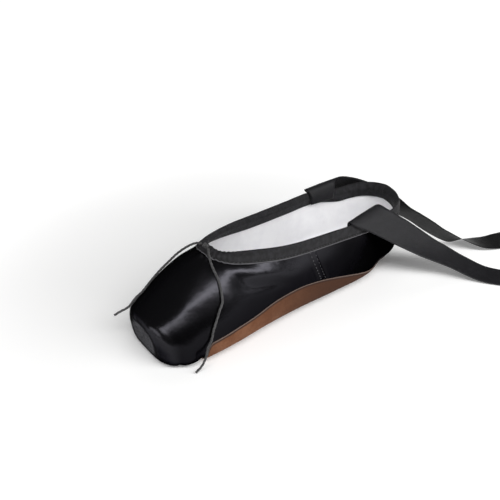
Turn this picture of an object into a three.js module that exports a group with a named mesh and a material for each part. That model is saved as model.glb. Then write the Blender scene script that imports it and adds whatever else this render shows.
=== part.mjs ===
// Pointe shoe: a satin shoe with a flat toe box, a cupped leather sole, a bound
// collar, a drawstring and two ribbons, standing empty on its sole.
//
// Frame: millimetres, +Z up. The toe points along -Y and the heel along +Y, so
// the wearer's left is +X. The origin is on the ground under the ball of the foot.
import * as THREE from "three";
import { mergeVertices } from "three/addons/utils/BufferGeometryUtils.js";

// Driving dimensions of the last
const shoeLength = 240;
const ballWidth = 75;
const throatHeight = 64.5;
const heelHeight = 55.5;
const sideDip = 7.5;
const throatDepth = 57.5;
const heelRadius = 29;
const platformEdge = 5;
const platformLean = 3;

// Driving dimensions of the pieces
const wall = 2.2;
const soleProud = 0.8;
const soleTip = 25;
const soleCorner = 9;
const soleSide = 25;
const insoleThickness = 2;
const insoleTip = 9;
const insoleSide = 4.6;
const bindingWidth = 9;
const bindingInside = 7;
const bindingThickness = 0.9;
const seamWidth = 5;
const seamRise = 0.5;
const ribbonWidth = 23;
const ribbonThickness = 0.8;
const cordDiameter = 1.8;
const knotWidth = 7;
const knotHeight = 4.6;
const gap = 0.3;

// Clearances that keep facets apart on curved ground
const bindingGap = 0.55;
const insoleGap = 0.85;

// Places along the shoe, measured from the platform
const ballStation = 0.35 * shoeLength;
const heelStart = shoeLength - heelRadius;
const collarRun = shoeLength - throatDepth;
const leanReach = 4 * platformEdge;

// Sections of the last: place as a share of the length, half width as a share of
// half the ball width, heights as shares of the throat height
const sections = [
  { at: 0.0, width: 0.55, widest: 0.26, low: 0.012, ridge: 0.5, lowPower: 4.2, highPower: 2.3 },
  { at: 0.05, width: 0.885, widest: 0.19, low: 0.008, ridge: 0.59, lowPower: 4.0, highPower: 2.2 },
  { at: 0.12, width: 0.98, widest: 0.2, low: 0.008, ridge: 0.79, lowPower: 3.3, highPower: 2.1 },
  { at: 0.19, width: 1.0, widest: 0.22, low: 0.005, ridge: 0.95, lowPower: 3.2, highPower: 2.0 },
  { at: 0.24, width: 0.985, widest: 0.22, low: 0.005, ridge: 1.003, lowPower: 3.2, highPower: 2.0 },
  { at: 0.35, width: 0.94, widest: 0.23, low: 0.005, ridge: 1.13, lowPower: 3.0, highPower: 2.0 },
  { at: 0.48, width: 0.92, widest: 0.23, low: 0.008, ridge: 1.28, lowPower: 3.0, highPower: 2.0 },
  { at: 0.62, width: 0.94, widest: 0.22, low: 0.022, ridge: 1.33, lowPower: 3.3, highPower: 2.1 },
  { at: 0.77, width: 0.95, widest: 0.25, low: 0.022, ridge: 1.38, lowPower: 3.3, highPower: 2.2 },
  { at: 0.88, width: 0.77, widest: 0.27, low: 0.005, ridge: 1.5, lowPower: 2.4, highPower: 2.3 },
  { at: 1.0, width: 0.77, widest: 0.27, low: 0.005, ridge: 1.55, lowPower: 2.4, highPower: 2.3 },
];
const heelPower = 2.3;

// The topline's dip under a straight line from throat to heel, as a share of sideDip
const toplineDips = [
  { at: 0.0, dip: 0.0 },
  { at: 0.12, dip: 0.06 },
  { at: 0.3, dip: 0.4 },
  { at: 0.5, dip: 0.42 },
  { at: 0.7, dip: 0.4 },
  { at: 0.85, dip: 0.75 },
  { at: 1.0, dip: 0.0 },
];

// Height of the sole's upper edge along the shoe, as a share of soleSide
const soleEdges = [
  { at: 0.0, rise: 0.62 },
  { at: 0.11, rise: 0.68 },
  { at: 0.22, rise: 0.78 },
  { at: 0.3, rise: 0.85 },
  { at: 0.38, rise: 0.99 },
  { at: 0.48, rise: 1.03 },
  { at: 0.57, rise: 0.92 },
  { at: 0.67, rise: 0.69 },
  { at: 0.77, rise: 0.45 },
  { at: 0.88, rise: 0.26 },
  { at: 1.0, rise: 0.2 },
];
const cornerPower = 2.4;

// Side seam, from the collar down to the sole, as shares of the length
const seamTopAt = 0.522;
const seamFootAt = 0.567;

// Distances for welding corners and for reading directions off the last
const weldDistance = 1e-3;
const probeStep = 0.01;

// Counts of facets
const angleSteps = 16;
const angleMargin = Math.PI / angleSteps / 5;
const ribbonSteps = 40;
const cordSteps = 26;
const knotSides = 12;
const cordSides = 8;

const looks = {
  satin: { color: 0x17161a, roughness: 0.38, metalness: 0 },
  leather: { color: 0x6e4b3a, roughness: 0.75, metalness: 0 },
  lining: { color: 0xf1f0ee, roughness: 0.9, metalness: 0 },
  grosgrain: { color: 0x3b3b3f, roughness: 0.85, metalness: 0 },
  ribbon: { color: 0x4a4a50, roughness: 0.5, metalness: 0 },
  cord: { color: 0x4c4b48, roughness: 0.8, metalness: 0 },
};

// Reads a column of a table at a place, as a smooth cubic through its rows
function readTable(table, column, at) {
  const last = table.length - 1;
  const place = THREE.MathUtils.clamp(at, table[0].at, table[last].at);
  let k = 0;
  while (k < last - 1 && place > table[k + 1].at) k += 1;
  const slopeAt = (i) => {
    const before = table[Math.max(i - 1, 0)];
    const after = table[Math.min(i + 1, last)];
    return (after[column] - before[column]) / (after.at - before.at);
  };
  const span = table[k + 1].at - table[k].at;
  const t = (place - table[k].at) / span;
  const start = table[k][column];
  const rise = table[k + 1][column] - start;
  const a = slopeAt(k) * span - rise;
  const b = rise - slopeAt(k + 1) * span;
  return start + rise * t + t * (1 - t) * (a * (1 - t) + b * t);
}

// The last's section at a station, in millimetres. Around the heel the underside
// stays the same, so that its sections meet in one point on the heel's axis.
function sectionAt(station) {
  const at = station / shoeLength;
  const under = Math.min(station, heelStart) / shoeLength;
  return {
    halfWidth: readTable(sections, "width", at) * (ballWidth / 2),
    widest: readTable(sections, "widest", under) * throatHeight,
    low: readTable(sections, "low", under) * throatHeight,
    ridge: readTable(sections, "ridge", at) * throatHeight,
    lowPower: readTable(sections, "lowPower", under),
    highPower: readTable(sections, "highPower", at),
  };
}

// How far the platform's rounded edge draws a section in
function edgeInset(station) {
  const left = Math.max(platformEdge - station, 0);
  return platformEdge - Math.sqrt(platformEdge ** 2 - left ** 2);
}

function powerRadius(c, s, reach, rise, power) {
  return (Math.abs(c / reach) ** power + Math.abs(s / rise) ** power) ** (-1 / power);
}

// Turn around the heel: nothing along the sides, a quarter turn at the back
function heelTurn(station) {
  return (Math.max(station - heelStart, 0) / heelRadius) * (Math.PI / 2);
}

// Half width of a section, and along the heel its reach from the heel's axis
function reachAt(section, station, grow) {
  const turn = heelTurn(station);
  const width = section.halfWidth + grow;
  return powerRadius(Math.cos(turn), Math.sin(turn), width, heelRadius + grow, heelPower);
}

// A point of the last: station from the platform, angle over the section from
// the bottom to the top. The last is grown by a positive amount, shrunk by a
// negative one.
function lastPoint(station, angle, grow) {
  const section = sectionAt(station);
  const inset = edgeInset(station);
  const below = angle < 0;
  const height = below ? section.widest - section.low : section.ridge - section.widest;
  const power = below ? section.lowPower : section.highPower;
  const reach = reachAt(section, station, grow) - inset;
  const radius = powerRadius(Math.cos(angle), Math.sin(angle), reach, height + grow - inset, power);
  const turn = heelTurn(station);
  const out = radius * Math.cos(angle);
  const z = section.widest + radius * Math.sin(angle);
  const nearToe = Math.max(1 - station / leanReach, 0);
  const lean = platformLean * ((z - section.widest) / section.ridge) * nearToe;
  const along = Math.min(station, heelStart) - ballStation - grow * nearToe - lean;
  return new THREE.Vector3(out * Math.cos(turn), along + out * Math.sin(turn), z);
}

// Angle at which a section reaches a height
function angleAtHeight(station, height) {
  const section = sectionAt(station);
  const below = height < section.widest;
  const rise = below ? section.widest - section.low : section.ridge - section.widest;
  const power = below ? section.lowPower : section.highPower;
  const share = Math.min(Math.abs(height - section.widest) / rise, 1);
  const out = reachAt(section, station, 0) * (1 - share ** power) ** (1 / power);
  return Math.atan2(height - section.widest, out);
}

// Height of the topline along the collar
function toplineHeight(station) {
  const along = (station - throatDepth) / collarRun;
  const line = THREE.MathUtils.lerp(throatHeight, heelHeight, along);
  return line - sideDip * readTable(toplineDips, "dip", along);
}

// Upper limit of the upper: the ridge over the vamp, the topline behind it
function collarAngle(station) {
  if (station <= throatDepth) return Math.PI / 2;
  return angleAtHeight(station, toplineHeight(station));
}

// Edge of the cupped sole, with a round tip, spread outward by a clearance
function soleAngle(station, tip, side, spread) {
  const height = side * readTable(soleEdges, "rise", station / shoeLength) + spread;
  const full = angleAtHeight(station, height);
  const along = THREE.MathUtils.clamp((station - tip + spread) / soleCorner, 0, 1);
  const share = (1 - (1 - along) ** cornerPower) ** (1 / cornerPower);
  return THREE.MathUtils.lerp(-Math.PI / 2, full, share);
}

// A geometry from a list of triangles of points
function fromTriangles(triangles) {
  const flat = new Float32Array(triangles.length * 9);
  triangles.forEach((corners, i) => {
    corners.forEach((corner, j) => corner.toArray(flat, i * 9 + j * 3));
  });
  const geometry = new THREE.BufferGeometry();
  geometry.setAttribute("position", new THREE.BufferAttribute(flat, 3));
  return geometry;
}

// One closed mesh: corners that meet are merged and empty triangles left out
function closedMesh(name, geometry, look) {
  geometry.deleteAttribute("normal");
  geometry.deleteAttribute("uv");
  const merged = mergeVertices(geometry, weldDistance);
  const index = Array.from(merged.index.array);
  const kept = [];
  for (let i = 0; i < index.length; i += 3) {
    const [a, b, c] = index.slice(i, i + 3);
    if (a !== b && b !== c && c !== a) kept.push(a, b, c);
  }
  merged.setIndex(kept);
  const mesh = new THREE.Mesh(merged, new THREE.MeshStandardMaterial(look));
  mesh.name = name;
  return mesh;
}

function quad(a, b, c, d) {
  return [[a, b, c], [a, c, d]];
}

function mirrored(triangles) {
  const flip = (p) => new THREE.Vector3(-p.x, p.y, p.z);
  return triangles.map(([a, b, c]) => [flip(a), flip(c), flip(b)]);
}

const onMiddle = (point) => Math.abs(point.x) < weldDistance;

// Closes the edge between the outer and the inner skin, except where both halves meet
function edgeBand(outer, inner, outward) {
  const faces = [];
  for (let i = 0; i + 1 < outer.length; i += 1) {
    if (onMiddle(outer[i]) && onMiddle(outer[i + 1])) continue;
    const ring = [outer[i], outer[i + 1], inner[i + 1], inner[i]];
    faces.push(...quad(...(outward ? ring : ring.reverse())));
  }
  return faces;
}

// A mirrored shell of the last's form between two skins. Each skin is a grid of
// points, a row per station, from the bottom to the top.
function shell(name, outer, inner, look) {
  const faces = [];
  for (let i = 0; i + 1 < outer.length; i += 1) {
    for (let j = 0; j + 1 < outer[i].length; j += 1) {
      faces.push(...quad(outer[i][j], outer[i + 1][j], outer[i + 1][j + 1], outer[i][j + 1]));
      faces.push(...quad(inner[i][j], inner[i][j + 1], inner[i + 1][j + 1], inner[i + 1][j]));
    }
  }
  const top = outer[0].length - 1;
  const column = (skin, j) => skin.map((row) => row[j]);
  faces.push(...edgeBand(column(outer, 0), column(inner, 0), false));
  faces.push(...edgeBand(column(outer, top), column(inner, top), true));
  return closedMesh(name, fromTriangles([...faces, ...mirrored(faces)]), look);
}

// Stations: close together where an opening starts, and around the heel
function stationsFrom(start, shares, length) {
  return shares.map((share) => start + share * length);
}
const edgeStations = stationsFrom(0, [0, 0.08, 0.3, 0.62, 1], platformEdge);
const boxStations = stationsFrom(platformEdge, [0.25, 0.55, 0.8], soleTip - platformEdge);
const tipShares = [0, 0.03, 0.1, 0.2, 0.36, 0.6, 1];
const vampStations = stationsFrom(soleTip + soleCorner, [0.3, 0.6, 0.85], throatDepth - soleTip - soleCorner);
const sideLength = heelStart - throatDepth;
const throatShares = [0, 0.002, 0.008, 0.018, 0.034, 0.06, 0.095, 0.14, 0.2, 0.27];
const quarterShares = [0.34, 0.41, 0.48, 0.74, 0.82, 0.91, 1];
const heelShares = [0.12, 0.25, 0.38, 0.5, 0.62, 0.75, 0.88, 1];
const collarStations = [
  ...stationsFrom(throatDepth, [...throatShares, ...quarterShares], sideLength),
  ...stationsFrom(heelStart, heelShares, heelRadius),
];

// The raised side seam: rows of the upper that lean with the seam, low at its
// outer rows and raised between them
const seamRows = [
  { offset: -0.7, rise: 0 },
  { offset: -0.45, rise: 1 },
  { offset: 0.45, rise: 1 },
  { offset: 0.7, rise: 0 },
];

// Rows of the upper, each with its station at the collar and at the sole
function upperRows() {
  const tips = stationsFrom(soleTip - gap, tipShares, soleCorner);
  const plain = [...edgeStations, ...boxStations, ...tips, ...vampStations, ...collarStations];
  const rows = plain.map((station) => ({ top: station, foot: station, rise: 0 }));
  seamRows.forEach(({ offset, rise }) => rows.push({
    top: seamTopAt * shoeLength + offset * seamWidth,
    foot: seamFootAt * shoeLength + offset * seamWidth,
    rise: rise * seamRise,
  }));
  return rows.sort((a, b) => a.top + a.foot - b.top - b.foot);
}

// Angles over a section between two limits. They keep to one grid, so that the
// facets of neighbours match, and those past a limit fall on it.
function anglesBetween(low, high) {
  return Array.from({ length: angleSteps + 1 }, (_, j) => {
    const angle = (j / angleSteps - 0.5) * Math.PI;
    if (j === 0 || angle < low + angleMargin) return low;
    if (j === angleSteps || angle > high - angleMargin) return high;
    return angle;
  });
}

// One row of the upper, from the edge of its opening underneath to its top. The
// seam's rise ends where the binding begins.
function upperRow(row, grow) {
  const low = soleAngle(row.foot, soleTip, soleSide, gap);
  const high = collarAngle(row.top);
  return anglesBetween(low, high).map((angle) => {
    const station = THREE.MathUtils.mapLinear(angle, low, high, row.foot, row.top);
    const covered = (high - angle) * (ballWidth / 2) < bindingWidth + seamWidth;
    return lastPoint(station, angle, covered ? Math.min(grow, 0) : grow);
  });
}

// The flat platform: the first row drawn together to a share of its size
function platformRow(first, share) {
  const middle = first[0].clone().lerp(first[first.length - 1], 0.5);
  return first.map((point) => middle.clone().lerp(point, share));
}

function upper() {
  const rows = upperRows();
  const skin = (lift) => {
    const grid = rows.map((row) => upperRow(row, lift(row)));
    return [platformRow(grid[0], 0), platformRow(grid[0], 0.5), ...grid];
  };
  return shell("upper", skin((row) => row.rise), skin(() => -wall), looks.satin);
}

function outsole() {
  const tips = stationsFrom(soleTip, tipShares, soleCorner);
  const stations = [...tips, ...vampStations, ...collarStations];
  const skin = (grow, floor) => stations.map((station) => {
    const high = soleAngle(station, soleTip, soleSide, 0);
    return anglesBetween(-Math.PI / 2, high).map((angle) => {
      const point = lastPoint(station, angle, grow);
      point.z = Math.max(point.z, floor);
      return point;
    });
  });
  return shell("outsole", skin(soleProud, 0), skin(-wall, 0), looks.leather);
}

function insole() {
  const tips = stationsFrom(insoleTip, tipShares, soleCorner);
  const rest = [...boxStations.slice(1), soleTip, soleTip + soleCorner, ...vampStations, ...collarStations];
  const stations = [...tips, ...rest.filter((station) => station > insoleTip + soleCorner)];
  const under = -wall - insoleGap;
  const skin = (grow) => stations.map((station) => {
    const high = soleAngle(station, insoleTip, insoleSide, 0);
    return anglesBetween(-Math.PI / 2, high).map((angle) => lastPoint(station, angle, grow));
  });
  return shell("insole", skin(under), skin(under - insoleThickness), looks.lining);
}

// Station and angle of the last beneath a point near its side
function beneath(point) {
  const along = point.y + ballStation;
  const back = along - heelStart;
  if (back <= 0) {
    const angle = Math.atan2(point.z - sectionAt(along).widest, Math.abs(point.x));
    return { station: along, angle };
  }
  const turn = Math.atan2(back, Math.abs(point.x));
  const station = heelStart + (turn / (Math.PI / 2)) * heelRadius;
  const out = Math.hypot(point.x, back);
  return { station, angle: Math.atan2(point.z - sectionAt(station).widest, out) };
}

// Collar edge: its point, and the direction that runs down the upper from it
function collarFrame(station) {
  const at = (s) => lastPoint(s, collarAngle(s), 0);
  const point = at(station);
  const ahead = at(Math.min(station + probeStep, shoeLength));
  const behind = at(Math.max(station - probeStep, throatDepth));
  const along = ahead.sub(behind).normalize();
  if (station === throatDepth) along.set(1, 0, 0);
  if (station === shoeLength) along.set(-1, 0, 0);
  const { station: s, angle } = beneath(point);
  const turned = lastPoint(s, angle + probeStep, 0).sub(lastPoint(s, angle - probeStep, 0));
  const next = lastPoint(Math.min(s + probeStep, shoeLength), angle, 0);
  const moved = next.sub(lastPoint(s - probeStep, angle, 0));
  const normal = moved.cross(turned).normalize();
  const down = normal.clone().cross(along).normalize();
  if (down.z > 0) down.negate();
  return { point, down };
}

// A point of the binding: so far down the upper from the collar, and so far out
function bindingPoint(frame, depth, grow) {
  const place = beneath(frame.point.clone().addScaledVector(frame.down, depth));
  return lastPoint(place.station, place.angle, grow);
}

// The binding folds over the collar: a thin U along its whole edge
function binding() {
  const outside = bindingGap;
  const inside = -wall - bindingGap;
  const skin = bindingThickness;
  const middle = -wall / 2;
  const profile = [
    [bindingWidth, outside], [bindingWidth, outside + skin], [bindingWidth / 2, outside + skin],
    [0, outside + skin], [-gap - skin / 2, outside + skin / 2], [-gap - skin, middle],
    [-gap - skin / 2, inside - skin / 2], [0, inside - skin], [bindingInside, inside - skin],
    [bindingInside, inside], [0, inside], [-gap, middle], [0, outside], [bindingWidth / 2, outside],
  ];
  const frames = collarStations.map(collarFrame);
  const rings = frames.map((frame) => profile.map(([depth, grow]) => bindingPoint(frame, depth, grow)));
  rings[0].forEach((point) => { point.x = 0; });
  rings[rings.length - 1].forEach((point) => { point.x = 0; });
  const faces = [];
  for (let i = 0; i + 1 < rings.length; i += 1) {
    for (let j = 0; j < profile.length; j += 1) {
      const k = (j + 1) % profile.length;
      faces.push(...quad(rings[i][j], rings[i + 1][j], rings[i + 1][k], rings[i][k]));
    }
  }
  return closedMesh("binding", fromTriangles([...faces, ...mirrored(faces)]), looks.grosgrain);
}

// A ribbon's rows, from its sewn end to its free end: the middle of the ribbon,
// out and back from the heel's axis as shares of the heel radius and up as a
// share of the heel height, then the way across it in ribbon widths. Over the
// fold the ribbon crosses the collar at a slant, so its rows are longer there.
const leftRibbonRows = [
  { out: 0.88, back: -1.1, up: 0.84, acrossOut: -0.06, acrossBack: 0.96, acrossUp: 0.0 },
  { out: 0.88, back: -1.09, up: 0.9, acrossOut: -0.04, acrossBack: 1.0, acrossUp: 0.04 },
  { out: 0.89, back: -1.06, up: 1.05, acrossOut: -0.03, acrossBack: 1.11, acrossUp: 0.17 },
  { out: 1.0, back: -1.03, up: 1.115, acrossOut: 0.04, acrossBack: 1.28, acrossUp: 0.25 },
  { out: 1.17, back: -0.94, up: 1.075, acrossOut: 0.1, acrossBack: 1.41, acrossUp: 0.21 },
  { out: 1.31, back: -0.66, up: 0.975, acrossOut: 0.06, acrossBack: 1.37, acrossUp: 0.17 },
  { out: 1.49, back: -0.31, up: 0.84, acrossOut: -0.02, acrossBack: 1.35, acrossUp: 0.13 },
  { out: 1.71, back: 0.09, up: 0.67, acrossOut: -0.13, acrossBack: 1.28, acrossUp: 0.11 },
  { out: 1.97, back: 0.59, up: 0.47, acrossOut: -0.37, acrossBack: 1.07, acrossUp: 0.13 },
  { out: 2.27, back: 1.13, up: 0.28, acrossOut: -0.61, acrossBack: 0.76, acrossUp: 0.2 },
  { out: 2.66, back: 1.52, up: 0.13, acrossOut: -0.61, acrossBack: 0.78, acrossUp: 0.13 },
  { out: 3.05, back: 1.84, up: 0.03, acrossOut: -0.57, acrossBack: 0.83, acrossUp: 0.05 },
  { out: 3.47, back: 2.16, up: 0.0, acrossOut: -0.57, acrossBack: 0.83, acrossUp: 0.0 },
  { out: 3.95, back: 2.5, up: 0.0, acrossOut: -0.57, acrossBack: 0.83, acrossUp: 0.0 },
];
const rightRibbonRows = [
  { out: -0.89, back: -0.74, up: 0.84, acrossOut: -0.11, acrossBack: -1.0, acrossUp: 0.02 },
  { out: -0.9, back: -0.73, up: 0.98, acrossOut: -0.12, acrossBack: -1.07, acrossUp: 0.0 },
  { out: -0.98, back: -0.71, up: 1.08, acrossOut: -0.17, acrossBack: -1.19, acrossUp: -0.06 },
  { out: -1.11, back: -0.63, up: 1.08, acrossOut: -0.3, acrossBack: -1.32, acrossUp: -0.17 },
  { out: -1.21, back: -0.34, up: 1.0, acrossOut: -0.45, acrossBack: -1.43, acrossUp: -0.39 },
  { out: -1.19, back: 0.13, up: 0.89, acrossOut: -0.67, acrossBack: -1.28, acrossUp: -0.56 },
  { out: -0.98, back: 0.61, up: 0.78, acrossOut: -0.94, acrossBack: -1.0, acrossUp: -0.66 },
  { out: -0.57, back: 0.95, up: 0.71, acrossOut: -1.09, acrossBack: -0.53, acrossUp: -0.82 },
  { out: -0.13, back: 1.17, up: 0.65, acrossOut: -1.03, acrossBack: -0.1, acrossUp: -0.81 },
  { out: 0.25, back: 1.41, up: 0.56, acrossOut: -0.9, acrossBack: 0.11, acrossUp: -0.64 },
  { out: 0.56, back: 1.65, up: 0.47, acrossOut: -0.69, acrossBack: 0.29, acrossUp: -0.69 },
  { out: 0.97, back: 1.94, up: 0.32, acrossOut: -0.53, acrossBack: 0.41, acrossUp: -0.83 },
  { out: 1.4, back: 2.25, up: 0.19, acrossOut: -0.35, acrossBack: 0.53, acrossUp: -0.81 },
  { out: 1.7, back: 2.7, up: 0.11, acrossOut: -0.59, acrossBack: 0.68, acrossUp: -0.47 },
  { out: 2.0, back: 3.19, up: 0.03, acrossOut: -0.83, acrossBack: 0.61, acrossUp: -0.15 },
  { out: 2.21, back: 3.76, up: 0.0, acrossOut: -0.95, acrossBack: 0.39, acrossUp: 0.0 },
  { out: 2.35, back: 4.33, up: 0.0, acrossOut: -0.97, acrossBack: 0.23, acrossUp: 0.0 },
];

// A ribbon: a thin strip swept through its rows. Its two broad faces are split along
// the same diagonals, so that they never cross where it twists.
function ribbon(name, rows) {
  const middles = rows.map((row) => new THREE.Vector3(
    row.out * heelRadius,
    heelStart - ballStation + row.back * heelRadius,
    row.up * heelHeight + ribbonThickness / 2,
  ));
  const spans = rows.map((row) => new THREE.Vector3(row.acrossOut, row.acrossBack, row.acrossUp));
  const path = new THREE.CatmullRomCurve3(middles, false, "centripetal");
  const across = new THREE.CatmullRomCurve3(spans, false, "centripetal");
  const rings = Array.from({ length: ribbonSteps + 1 }, (_, i) => {
    const t = i / ribbonSteps;
    const middle = path.getPoint(t);
    const half = across.getPoint(t).multiplyScalar(ribbonWidth / 2);
    const lift = path.getTangent(t).cross(half).setLength(ribbonThickness / 2);
    const corners = [[-1, -1], [1, -1], [1, 1], [-1, 1]];
    return corners.map(([side, face]) => {
      const corner = middle.clone().addScaledVector(half, side).addScaledVector(lift, face);
      corner.z = Math.max(corner.z, 0);
      return corner;
    });
  });
  const faces = [];
  for (let i = 0; i < ribbonSteps; i += 1) {
    for (let j = 0; j < 4; j += 1) {
      const k = (j + 1) % 4;
      const corners = [rings[i][j], rings[i][k], rings[i + 1][k], rings[i + 1][j]];
      if (j === 2) corners.push(corners.shift());
      faces.push(...quad(...corners));
    }
  }
  faces.push(...quad(...rings[0].slice().reverse()), ...quad(...rings[ribbonSteps]));
  return closedMesh(name, fromTriangles(faces), looks.ribbon);
}

// The drawstring's ends, from the knot over the box: along from the platform to
// the throat as a share of its depth, turn from the side to the ridge as a share
// of a quarter turn, and lift off the last in cord diameters. The right end hangs
// past the platform, and the left end runs down the side to the ground.
const rightEndRows = [
  { along: 0.96, turn: 0.95, lift: 2.4 },
  { along: 0.94, turn: 0.9, lift: 2.5 },
  { along: 0.9, turn: 0.85, lift: 2.3 },
  { along: 0.83, turn: 0.8, lift: 2.0 },
  { along: 0.75, turn: 0.75, lift: 1.8 },
  { along: 0.65, turn: 0.69, lift: 1.3 },
  { along: 0.51, turn: 0.63, lift: 1.1 },
  { along: 0.34, turn: 0.61, lift: 1.3 },
  { along: 0.22, turn: 0.6, lift: 1.7 },
  { along: 0.12, turn: 0.55, lift: 2.2 },
  { along: 0.0, turn: 0.43, lift: 5.2 },
  { along: -0.1, turn: 0.34, lift: 4.9 },
  { along: -0.17, turn: 0.28, lift: 4.7 },
];
const leftEndRows = [
  { along: 0.96, turn: 0.95, lift: 2.3 },
  { along: 0.92, turn: 0.9, lift: 2.2 },
  { along: 0.89, turn: 0.85, lift: 1.8 },
  { along: 0.87, turn: 0.78, lift: 1.4 },
  { along: 0.86, turn: 0.66, lift: 1.1 },
  { along: 0.84, turn: 0.57, lift: 1.0 },
  { along: 0.8, turn: 0.46, lift: 1.0 },
  { along: 0.74, turn: 0.4, lift: 1.0 },
  { along: 0.67, turn: 0.32, lift: 1.0 },
  { along: 0.6, turn: 0.23, lift: 1.0 },
  { along: 0.55, turn: 0.13, lift: 1.0 },
  { along: 0.49, turn: 0.06, lift: 1.2 },
  { along: 0.44, turn: -0.03, lift: 2.0 },
  { along: 0.37, turn: -0.12, lift: 2.9 },
  { along: 0.3, turn: -0.18, lift: 4.5 },
];

// A point of the drawstring, on the side given by the sign, never in the ground
function cordPoint({ along, turn, lift }, side) {
  const station = along * throatDepth;
  const angle = turn * (Math.PI / 2);
  const skin = lastPoint(Math.max(station, 0), angle, 0);
  const out = skin.x + lift * cordDiameter * Math.cos(angle);
  const z = skin.z + lift * cordDiameter * Math.sin(angle);
  return new THREE.Vector3(side * out, station - ballStation, Math.max(z, cordDiameter / 2));
}

function cord(name, rows, side) {
  const path = new THREE.CatmullRomCurve3(rows.map((row) => cordPoint(row, side)));
  const corners = Array.from({ length: cordSides }, (_, i) => {
    const turn = (i / cordSides) * 2 * Math.PI;
    return new THREE.Vector2(Math.cos(turn), Math.sin(turn)).multiplyScalar(cordDiameter / 2);
  });
  const section = new THREE.Shape(corners);
  const tube = new THREE.ExtrudeGeometry(section, { steps: cordSteps, extrudePath: path });
  return closedMesh(name, tube, looks.cord);
}

// The knot sits on the binding at the throat
function knot() {
  const ball = new THREE.SphereGeometry(0.5, knotSides, knotSides / 2);
  ball.scale(knotWidth, knotWidth - cordDiameter, knotHeight);
  const top = lastPoint(throatDepth - cordDiameter, Math.PI / 2, bindingGap + bindingThickness + gap);
  const mesh = closedMesh("drawstring_knot", ball, looks.cord);
  mesh.position.set(0, top.y, top.z + knotHeight / 2);
  return mesh;
}

const shoe = new THREE.Group();
shoe.add(upper(), outsole(), insole(), binding());
shoe.add(ribbon("ribbon_left", leftRibbonRows), ribbon("ribbon_right", rightRibbonRows));
shoe.add(knot(), cord("drawstring_left", leftEndRows, 1), cord("drawstring_right", rightEndRows, -1));

export default shoe;
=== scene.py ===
"""Looks of a pointe shoe: black satin, leather sole, bound collar, drawstring and ribbons.

The toe points along -Y, the heel along +Y and the wearer's left is +X. Sizes are in
millimetres and every finished mesh is in metres.
"""
import logging
import math
from dataclasses import dataclass, field
from enum import Enum
from typing import Callable, Mapping, NamedTuple, Sequence

import bmesh
import bpy
from mathutils import Matrix, Vector, noise


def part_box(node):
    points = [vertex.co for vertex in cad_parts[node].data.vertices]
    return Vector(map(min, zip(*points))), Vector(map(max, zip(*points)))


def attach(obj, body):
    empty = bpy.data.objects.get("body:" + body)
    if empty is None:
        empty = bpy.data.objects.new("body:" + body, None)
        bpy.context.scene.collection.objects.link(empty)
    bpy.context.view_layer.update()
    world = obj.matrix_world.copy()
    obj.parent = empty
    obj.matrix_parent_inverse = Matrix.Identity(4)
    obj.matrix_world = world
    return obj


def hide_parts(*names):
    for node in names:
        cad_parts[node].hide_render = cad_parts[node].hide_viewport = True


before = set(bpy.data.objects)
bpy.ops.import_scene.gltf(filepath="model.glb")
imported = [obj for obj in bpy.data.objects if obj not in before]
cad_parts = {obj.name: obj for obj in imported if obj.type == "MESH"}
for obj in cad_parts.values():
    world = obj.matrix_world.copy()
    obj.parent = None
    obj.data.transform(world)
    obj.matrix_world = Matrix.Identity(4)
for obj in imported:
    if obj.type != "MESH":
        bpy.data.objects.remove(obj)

LOG = logging.getLogger("pointe_shoe")
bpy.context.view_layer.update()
MM = 0.001
QUARTER = math.pi / 2
WELD = 2e-6
CLOTH_UV = "cloth"


class Side(Enum):
    """A side of the shoe, as the wearer has it, by the sign of its X."""

    LEFT = 1
    RIGHT = -1


class Slot(Enum):
    """The record's material slots."""

    SATIN = "satin"
    LEATHER = "leather"
    LINING = "lining"
    GROSGRAIN = "grosgrain"
    RIBBON = "ribbon"
    CORD = "cord"


# Shapes shared by the pieces


@dataclass(frozen=True)
class Table:
    """Rows of shares along the shoe, read as a smooth cubic through them."""

    names: str
    rows: tuple[tuple[float, ...], ...]

    def read(self, name: str, at: float) -> float:
        """Reads one column at a place.

        Args:
            name: the column's name.
            at: the place, in the first column's terms.

        Returns:
            The column's value there.
        """
        rows = self.rows
        column = self.names.split().index(name)
        last = len(rows) - 1
        place = min(max(at, rows[0][0]), rows[last][0])
        k = 0
        while k < last - 1 and place > rows[k + 1][0]:
            k += 1

        def slope(i: int) -> float:
            """The slope at a row, from its neighbours."""
            before, after = rows[max(i - 1, 0)], rows[min(i + 1, last)]
            return (after[column] - before[column]) / (after[0] - before[0])

        span = rows[k + 1][0] - rows[k][0]
        t = (place - rows[k][0]) / span
        start = rows[k][column]
        rise = rows[k + 1][column] - start
        a = slope(k) * span - rise
        b = rise - slope(k + 1) * span
        return start + rise * t + t * (1 - t) * (a * (1 - t) + b * t)


class Section(NamedTuple):
    """One cross section of the last, in millimetres."""

    half_width: float
    widest: float
    low: float
    ridge: float
    low_power: float
    high_power: float


def power_radius(c: float, s: float, reach: float, rise: float, power: float) -> float:
    """Radius of a superellipse along a direction.

    Args:
        c: cosine of the direction.
        s: sine of the direction.
        reach: half width.
        rise: half height.
        power: how square the curve is.

    Returns:
        The radius.
    """
    return (abs(c / reach) ** power + abs(s / rise) ** power) ** (-1 / power)


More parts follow.
